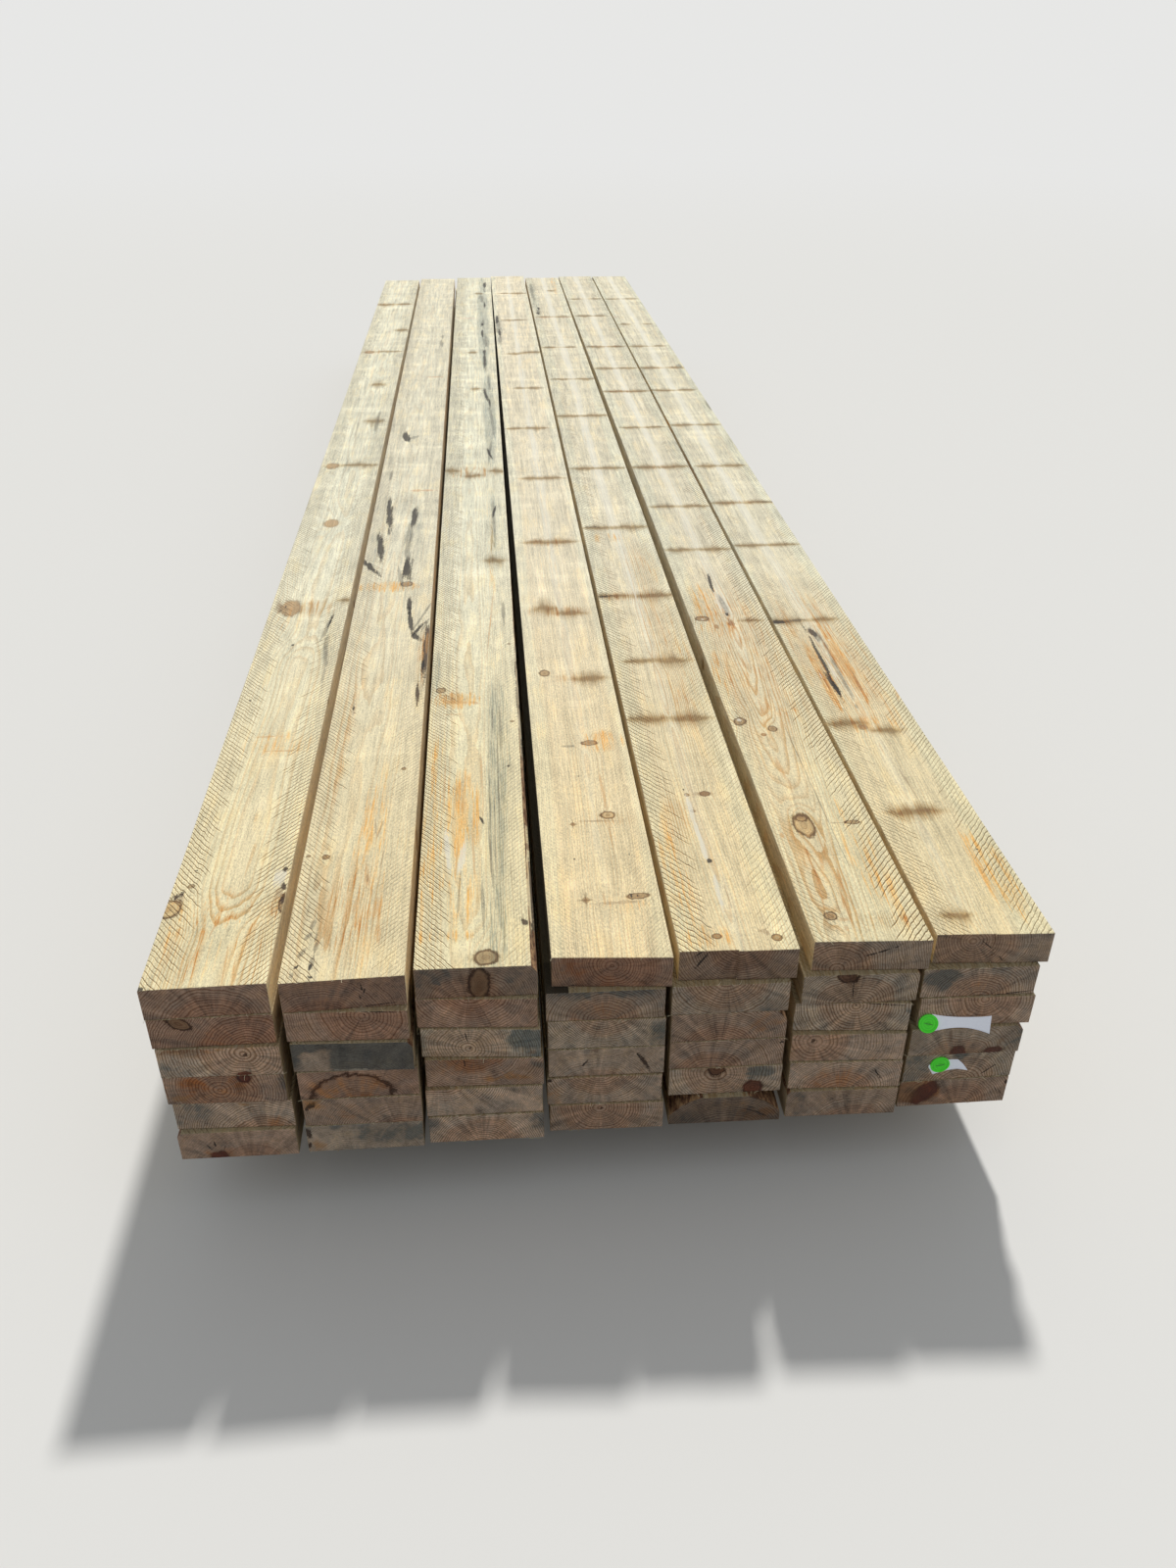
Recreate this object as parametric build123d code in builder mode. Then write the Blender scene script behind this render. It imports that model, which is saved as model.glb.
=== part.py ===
from build123d import *
import os

# Stack of sawn softwood planks, seven wide and six high, on three bearers.
# Millimetres. X runs across the stack, Y along the planks, Z up.
# The labelled ends face -Y, which is called the front.
# The origin is on the ground under the middle of the whole stack.

# Planks
plank_length = 4800.0
plank_width = 150.0
plank_thickness = 47.0

# Bearers: battens on edge with a groove for a strap along the underside
bearer_width = 47.0
bearer_height = 95.0
bearer_inset = 6.0            # from the side of the bottom layer to the bearer's end
bearer_end_distance = 1200.0  # from the planks' nominal end to an outer bearer's middle
groove_width = 15.0
groove_depth = 11.0

# Plastic buttons that pin the paper strips to the plank ends
button_diameter = 26.0
button_base = 1.2             # thickness of the flat base
button_rim_width = 1.6
button_rim_height = 0.9
button_ring_diameter = 17.0
button_ring_width = 1.2
button_ring_height = 0.4
button_well_diameter = 8.0
button_well_depth = 0.6
button_edge_bevel = 0.35

# Paper strips, bare
strip_thickness = 0.4
strip_clearance = 0.3         # from the wood to the back of a strip
upper_strip_length = 75.0
upper_strip_height = 25.0
upper_strip_waist = 15.0      # height at the narrowest place
upper_strip_start = 18.0      # from the left end of the upper label
upper_label_rise = 21.0       # from the joint under its plank up to the label's top edge
lower_label_side = 34.5       # from the plank's left edge to the button's left edge
lower_label_drop = 4.0        # from the plank's top to the button's top edge
# The torn lower strip's corners, from the middle of its button
scrap_outline = ((-15, -1), (-7, -18), (12, -10), (39, -12), (24, 4), (8, 8))

# Where each plank lies, layer by layer from the bottom up and from left to right.
# Side gaps: first the step in from the reference line on the left, then the
# gaps between neighbours.
front_gaps = (
    (8, 12, 7, 8, 8, 8, 6),
    (9, 12, 5, 6, 10, 10, 6),
    (5, 15, 8, 6, 7, 10, 8),
    (5, 12, 8, 9, 7, 11, 14),
    (2, 12, 8, 10, 8, 18, 6),
    (1, 13, 9, 17, 8, 21, 7),
)
back_gaps = (
    (9, 10, 6, 9, 8, 7, 8),
    (6, 9, 8, 10, 6, 9, 7),
    (10, 8, 10, 5, 8, 7, 9),
    (8, 10, 7, 6, 9, 8, 10),
    (12, 9, 6, 9, 5, 12, 7),
    (17, 8, 12, 2, 6, 4, 5),
)
# How far the left corner of each front end stands back from the nominal end
front_setbacks = (
    (-14, -14, -11, -3, -4, -3, 3),
    (-6, -13, -9, -1, 3, 3, 3),
    (-8, -13, -3, 2, 4, 6, 3),
    (-9, -11, 3, 4, 4, 14, 10),
    (-7, -7, 6, 4, 4, 11, 12),
    (-7, -7, 6, 16, 15, 21, 23),
)
# How much further back the right corner is, because the saw cut is not square
front_skews = (
    (-2, -1, -2, -4, -3, -4, 0),
    (-5, -3, -2, -3, -2, -7, 1),
    (-5, -1, -6, -3, -2, -8, -2),
    (-4, -7, -11, -4, -1, -11, -5),
    (0, -6, -10, -2, -2, -3, -3),
    (2, 4, -3, -11, -6, -8, -8),
)
# How far the left corner of each back end reaches past the nominal end
back_reaches = (
    (14, -24, 6, 18, -10, 2, -8),
    (-6, 12, -18, 8, -2, 30, -14),
    (20, -8, 10, -30, 12, -4, 26),
    (-15, 18, -4, 22, -26, 6, -12),
    (8, -22, 14, -6, 28, -10, 4),
    (-50, -16, 1, 36, -12, 15, 12),
)
back_skews = (
    (2, -3, 1, -2, 3, 0, 2),
    (-1, 2, 4, -3, 1, -2, 3),
    (3, 0, -2, 2, -4, 1, -1),
    (-2, 3, 1, -1, 2, -3, 2),
    (1, -4, 2, 3, -1, 2, -2),
    (2, -3, 1, 4, -2, 3, -1),
)

# Saw cuts that met in a small step: (layer, column) to how far the right part
# of the front end stands forward of the left part, and where the step is
cut_steps = {
    (5, 6): (2.0, 68.0),
    (6, 5): (2.5, 74.0),
    (6, 7): (1.2, 75.0),
}

# Planks sawn so near the outside of the log that its round surface cuts their
# corners: (layer, column) to the pith's place from the plank's left edge and
# from its underside, and the log's radius at the front and at the back
logs = {
    (1, 1): (90.0, -25.0, 111.0, 128.0),
    (1, 5): (75.0, -47.0, 98.0, 122.0),
    (1, 6): (92.0, -30.0, 116.0, 134.0),
    (2, 3): (70.0, 92.0, 140.0, 113.0),
    (3, 2): (78.0, -40.0, 136.0, 112.0),
    (3, 7): (70.0, -30.0, 105.0, 127.0),
    (4, 2): (62.0, -18.0, 104.0, 120.0),
    (4, 5): (68.0, -20.0, 95.6, 116.0),
    (5, 4): (72.0, 90.0, 138.0, 114.0),
    (5, 6): (60.0, -35.0, 119.5, 138.0),
    (6, 3): (66.0, -15.0, 98.0, 122.0),
}
log_overrun = 60.0            # how far a log's cone runs past the nominal ends

layer_count = len(front_gaps)
planks_per_layer = len(front_gaps[0])
label_column = planks_per_layer
upper_label_layer = 4
lower_label_layer = 2


def edge_positions(gaps, column):
    """Left edge of a plank at one end of its layer, from the reference line."""
    return sum(gaps[:column]) + (column - 1) * plank_width


def plank_corners(layer, column):
    """Front left, front right, back right and back left corners, before centring."""
    row = layer - 1
    place = column - 1
    front_x = edge_positions(front_gaps[row], column)
    back_x = edge_positions(back_gaps[row], column)
    front_y = -plank_length / 2 + front_setbacks[row][place]
    back_y = plank_length / 2 + back_reaches[row][place]
    return (
        (front_x, front_y),
        (front_x + plank_width, front_y + front_skews[row][place]),
        (back_x + plank_width, back_y + back_skews[row][place]),
        (back_x, back_y),
    )


# The middle of the stack's overall plan, which becomes the origin
all_corners = [
    corner
    for layer in range(1, layer_count + 1)
    for column in range(1, planks_per_layer + 1)
    for corner in plank_corners(layer, column)
]
middle_x = (min(x for x, y in all_corners) + max(x for x, y in all_corners)) / 2
middle_y = (min(y for x, y in all_corners) + max(y for x, y in all_corners)) / 2


def centred(point):
    """A point in plan, moved into the stack's own frame."""
    return (point[0] - middle_x, point[1] - middle_y)


def layer_floor(layer):
    """Height of the underside of a layer."""
    return bearer_height + (layer - 1) * plank_thickness


def front_line(layer, column):
    """The two ends of a plank's front face in plan, from left to right."""
    left, right = plank_corners(layer, column)[:2]
    return centred(left), centred(right)


def face_point(layer, column, side, height):
    """A point on a plank's front face, from its left edge and above the ground."""
    left, right = front_line(layer, column)
    share = side / plank_width
    return Vector(left[0] + side, left[1] + share * (right[1] - left[1]), height)


def plank_outline(layer, column):
    """A plank's outline in plan, with the step of a saw cut that has one."""
    front_left, front_right, back_right, back_left = [
        centred(corner) for corner in plank_corners(layer, column)
    ]
    points = [front_left]
    if (layer, column) in cut_steps:
        step, side = cut_steps[(layer, column)]
        on_line = face_point(layer, column, side, 0)
        points.append((on_line.X, on_line.Y + step / 2))
        points.append((on_line.X, on_line.Y - step / 2))
    return points + [front_right, back_right, back_left]


def make_plank(layer, column):
    """One plank, with its corners cut by the round of its log where it has wane."""
    with BuildPart() as plank:
        with BuildSketch(Plane.XY.offset(layer_floor(layer))):
            with BuildLine():
                Polyline(*plank_outline(layer, column), close=True)
            make_face()
        extrude(amount=plank_thickness)
        if (layer, column) in logs:
            pith_side, pith_height, front_radius, back_radius = logs[(layer, column)]
            corners = [centred(corner) for corner in plank_corners(layer, column)]
            half_run = plank_length / 2 + log_overrun
            pith_z = layer_floor(layer) + pith_height
            with BuildSketch(Plane.XZ.offset(half_run)):
                with Locations((corners[0][0] + pith_side, pith_z)):
                    Circle(front_radius)
            with BuildSketch(Plane.XZ.offset(-half_run)):
                with Locations((corners[3][0] + pith_side, pith_z)):
                    Circle(back_radius)
            loft(mode=Mode.INTERSECT)
    return plank.part


def save(part, name):
    """Label a finished node and write its STEP file."""
    part.label = name
    export_step(part, f"parts/{name}.step")


os.makedirs("parts", exist_ok=True)

# Plank layers, bottom to top: seven planks side by side that do not touch
for layer in range(1, layer_count + 1):
    planks = [make_plank(layer, column) for column in range(1, planks_per_layer + 1)]
    with BuildPart() as plank_layer:
        add(planks)
    save(plank_layer.part, f"plank_layer_{layer}")

# Bearers, from the front to the back, under the bottom layer
bottom_left = front_line(1, 1)[0][0]
bottom_right = front_line(1, planks_per_layer)[1][0]
bearer_length = bottom_right - bottom_left - 2 * bearer_inset
bearer_middle_x = (bottom_left + bottom_right) / 2
outer_bearer_y = plank_length / 2 - bearer_end_distance
bearer_places = {
    "bearer_front": -outer_bearer_y,
    "bearer_middle": 0.0,
    "bearer_back": outer_bearer_y,
}
for name, place_y in bearer_places.items():
    with BuildPart() as bearer:
        with BuildSketch(Plane.YZ.offset(bearer_middle_x)):
            with Locations((place_y, 0)):
                Rectangle(bearer_width, bearer_height, align=(Align.CENTER, Align.MIN))
                Rectangle(
                    groove_width,
                    groove_depth,
                    align=(Align.CENTER, Align.MIN),
                    mode=Mode.SUBTRACT,
                )
        extrude(amount=bearer_length / 2, both=True)
    save(bearer.part, name)

# The upper label leans from its plank's end face down over the front edge of the
# plank below, which stands further forward. Its plane runs through three points.
upper_joint = layer_floor(upper_label_layer)
upper_top = upper_joint + upper_label_rise
upper_left = face_point(upper_label_layer, label_column, 0, upper_top)
upper_right = face_point(upper_label_layer, label_column, plank_width, upper_top)
leaned_on = face_point(upper_label_layer - 1, label_column, 0, upper_joint)
along = (upper_right - upper_left).normalized()
outwards = along.cross(upper_left - leaned_on).normalized()
upper_plane = Plane(origin=upper_left, x_dir=along, z_dir=outwards).offset(strip_clearance)

# The lower label lies flat on its plank's end face, measured from the top left corner
lower_top = layer_floor(lower_label_layer) + plank_thickness
lower_left = face_point(lower_label_layer, label_column, 0, lower_top)
lower_right = face_point(lower_label_layer, label_column, plank_width, lower_top)
lower_along = (lower_right - lower_left).normalized()
lower_outwards = lower_along.cross(Vector(0, 0, 1)).normalized()
lower_plane = Plane(origin=lower_left, x_dir=lower_along, z_dir=lower_outwards).offset(
    strip_clearance
)

# Upper strip: wide at both ends and drawn in between them
waist_drop = (upper_strip_height - upper_strip_waist) / 2
strip_end = upper_strip_start + upper_strip_length
strip_waist_x = upper_strip_start + upper_strip_length / 2
with BuildPart() as label_strip_upper:
    with BuildSketch(upper_plane):
        with BuildLine():
            Spline(
                (upper_strip_start, 0),
                (strip_waist_x, -waist_drop),
                (strip_end, 0),
            )
            Line((strip_end, 0), (strip_end, -upper_strip_height))
            Spline(
                (strip_end, -upper_strip_height),
                (strip_waist_x, waist_drop - upper_strip_height),
                (upper_strip_start, -upper_strip_height),
            )
            Line((upper_strip_start, -upper_strip_height), (upper_strip_start, 0))
        make_face()
    extrude(amount=strip_thickness)
save(label_strip_upper.part, "label_strip_upper")

# Lower strip: a torn scrap held under its button
lower_middle = (
    lower_label_side + button_diameter / 2,
    -lower_label_drop - button_diameter / 2,
)
scrap_corners = [(lower_middle[0] + x, lower_middle[1] + y) for x, y in scrap_outline]
with BuildPart() as label_strip_lower:
    with BuildSketch(lower_plane):
        with BuildLine():
            Polyline(*scrap_corners, close=True)
        make_face()
    extrude(amount=strip_thickness)
save(label_strip_lower.part, "label_strip_lower")


def make_button(plane, middle):
    """A moulded button: a round base with a rim, an inner ring and a sunk well."""
    rim = button_diameter / 2
    ring = button_ring_diameter / 2
    seat = plane.offset(strip_thickness)
    with BuildPart() as button:
        with BuildSketch(seat):
            with Locations(middle):
                Circle(rim)
        extrude(amount=button_base)
        with BuildSketch(seat.offset(button_base)):
            with Locations(middle):
                Circle(rim)
                Circle(rim - button_rim_width, mode=Mode.SUBTRACT)
        extrude(amount=button_rim_height)
        with BuildSketch(seat.offset(button_base)):
            with Locations(middle):
                Circle(ring)
                Circle(ring - button_ring_width, mode=Mode.SUBTRACT)
        extrude(amount=button_ring_height)
        with BuildSketch(seat.offset(button_base - button_well_depth)):
            with Locations(middle):
                Circle(button_well_diameter / 2)
        extrude(amount=button_well_depth, mode=Mode.SUBTRACT)
        rim_face = button.faces().sort_by(Axis(seat.origin, seat.z_dir))[-1]
        chamfer(rim_face.outer_wire().edges(), button_edge_bevel)
    return button.part


upper_middle = (button_diameter / 2, -button_diameter / 2)
save(make_button(upper_plane, upper_middle), "label_button_upper")
save(make_button(lower_plane, lower_middle), "label_button_lower")
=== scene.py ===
import math
from collections import namedtuple

import bmesh
import bpy
import numpy as np
from bpy.props import FloatProperty, FloatVectorProperty, IntProperty, PointerProperty
from mathutils import Matrix, Vector


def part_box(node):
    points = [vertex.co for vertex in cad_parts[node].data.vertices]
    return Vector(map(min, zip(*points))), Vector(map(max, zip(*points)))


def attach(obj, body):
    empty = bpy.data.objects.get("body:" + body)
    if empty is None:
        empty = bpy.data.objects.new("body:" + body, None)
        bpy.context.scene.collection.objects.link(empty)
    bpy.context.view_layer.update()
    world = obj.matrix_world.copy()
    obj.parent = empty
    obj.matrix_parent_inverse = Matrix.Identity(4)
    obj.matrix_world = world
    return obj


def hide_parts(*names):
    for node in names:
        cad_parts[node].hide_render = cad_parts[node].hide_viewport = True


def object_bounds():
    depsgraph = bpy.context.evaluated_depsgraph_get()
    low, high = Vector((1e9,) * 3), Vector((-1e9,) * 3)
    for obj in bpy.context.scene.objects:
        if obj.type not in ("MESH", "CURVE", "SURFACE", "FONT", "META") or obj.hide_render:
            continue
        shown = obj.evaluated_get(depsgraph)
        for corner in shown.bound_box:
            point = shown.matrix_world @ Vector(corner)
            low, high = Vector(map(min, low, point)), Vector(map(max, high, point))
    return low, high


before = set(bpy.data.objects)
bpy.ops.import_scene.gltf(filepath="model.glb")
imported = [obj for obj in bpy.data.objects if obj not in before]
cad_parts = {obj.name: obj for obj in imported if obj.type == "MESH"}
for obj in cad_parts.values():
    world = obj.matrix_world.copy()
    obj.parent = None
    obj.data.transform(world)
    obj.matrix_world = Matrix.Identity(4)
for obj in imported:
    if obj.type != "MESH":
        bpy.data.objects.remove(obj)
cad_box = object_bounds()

bl_info = {
    "name": "Stack of lumber",
    "version": (1, 0, 0),
    "blender": (4, 5, 0),
    "location": "3D View > Sidebar > Lumber",
    "description": "Finishes a stack of rough sawn planks around its solid model",
    "category": "Add Mesh",
}

MM = 0.001
# A sawn plank's usual section, in millimetres
WIDTH, HEIGHT = 150.0, 47.0

# What each plank shows, as a table of rows. Millimetres, from the plank's left edge
# (across), its front end (along) and its underside (up).
#   pith    where the heart of the log runs: along, across, up at one or more places
#   ring    how wide and how strong its growth rings are
#   face    brightness of its long faces, and how cool their colour is
#    side    brightness of its left side and of the top beside it, as painted shade
#   end     the same as face for its front end
#   saw     strength of the saw's marks at the left and right edge, and their spacing
#   knots   on the top: kind, across, along, half width, half length, lean in degrees
#   marks   the same
#   stains  on the top: kind, strength, across, along, half width, half length
#   end_knots, end_marks, end_stains   the same on the front end, with up for along
# A comma ends a row. A row without a kind has that of the row before it, and a lean
# that is left out is 0. A mark lies on top of those that are named before it.
SINGLE_ROWS = ("ring", "face", "side", "end", "saw")
OVAL_ROWS = ("knots", "marks", "end_knots", "end_marks")
OVAL_SIZE = 6
Look = namedtuple(
    "Look",
    "pith ring face side end saw knots marks stains end_knots end_marks end_stains",
    defaults=(((0, 75, -20),), (2.8, 0.6), (1.0, 1.0), (1.0,), (1.0, 1.0), (0.5, 0.5, 10.0)) + ((),) * 6,
)


def look(table):
    """A plank's look from its table, plain in all that the table doesn't name."""
    shown = {}
    for part in table.replace(";", "\n").splitlines():
        name, colon, items = part.rpartition(":")
        if colon:
            rows = shown.setdefault(name.strip(), [])
            kind = ()
        for item in items.split(","):
            words = item.split()
            if words and words[0].isalpha():
                kind = (words.pop(0),)
            if words:
                rows.append((*kind, *map(float, words)))
    for name in shown:
        if name in SINGLE_ROWS:
            shown[name] = shown[name][0]
        if name in OVAL_ROWS:
            shown[name] = [(*row, 0.0)[:OVAL_SIZE] for row in shown[name]]
    return Look(**shown)


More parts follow.
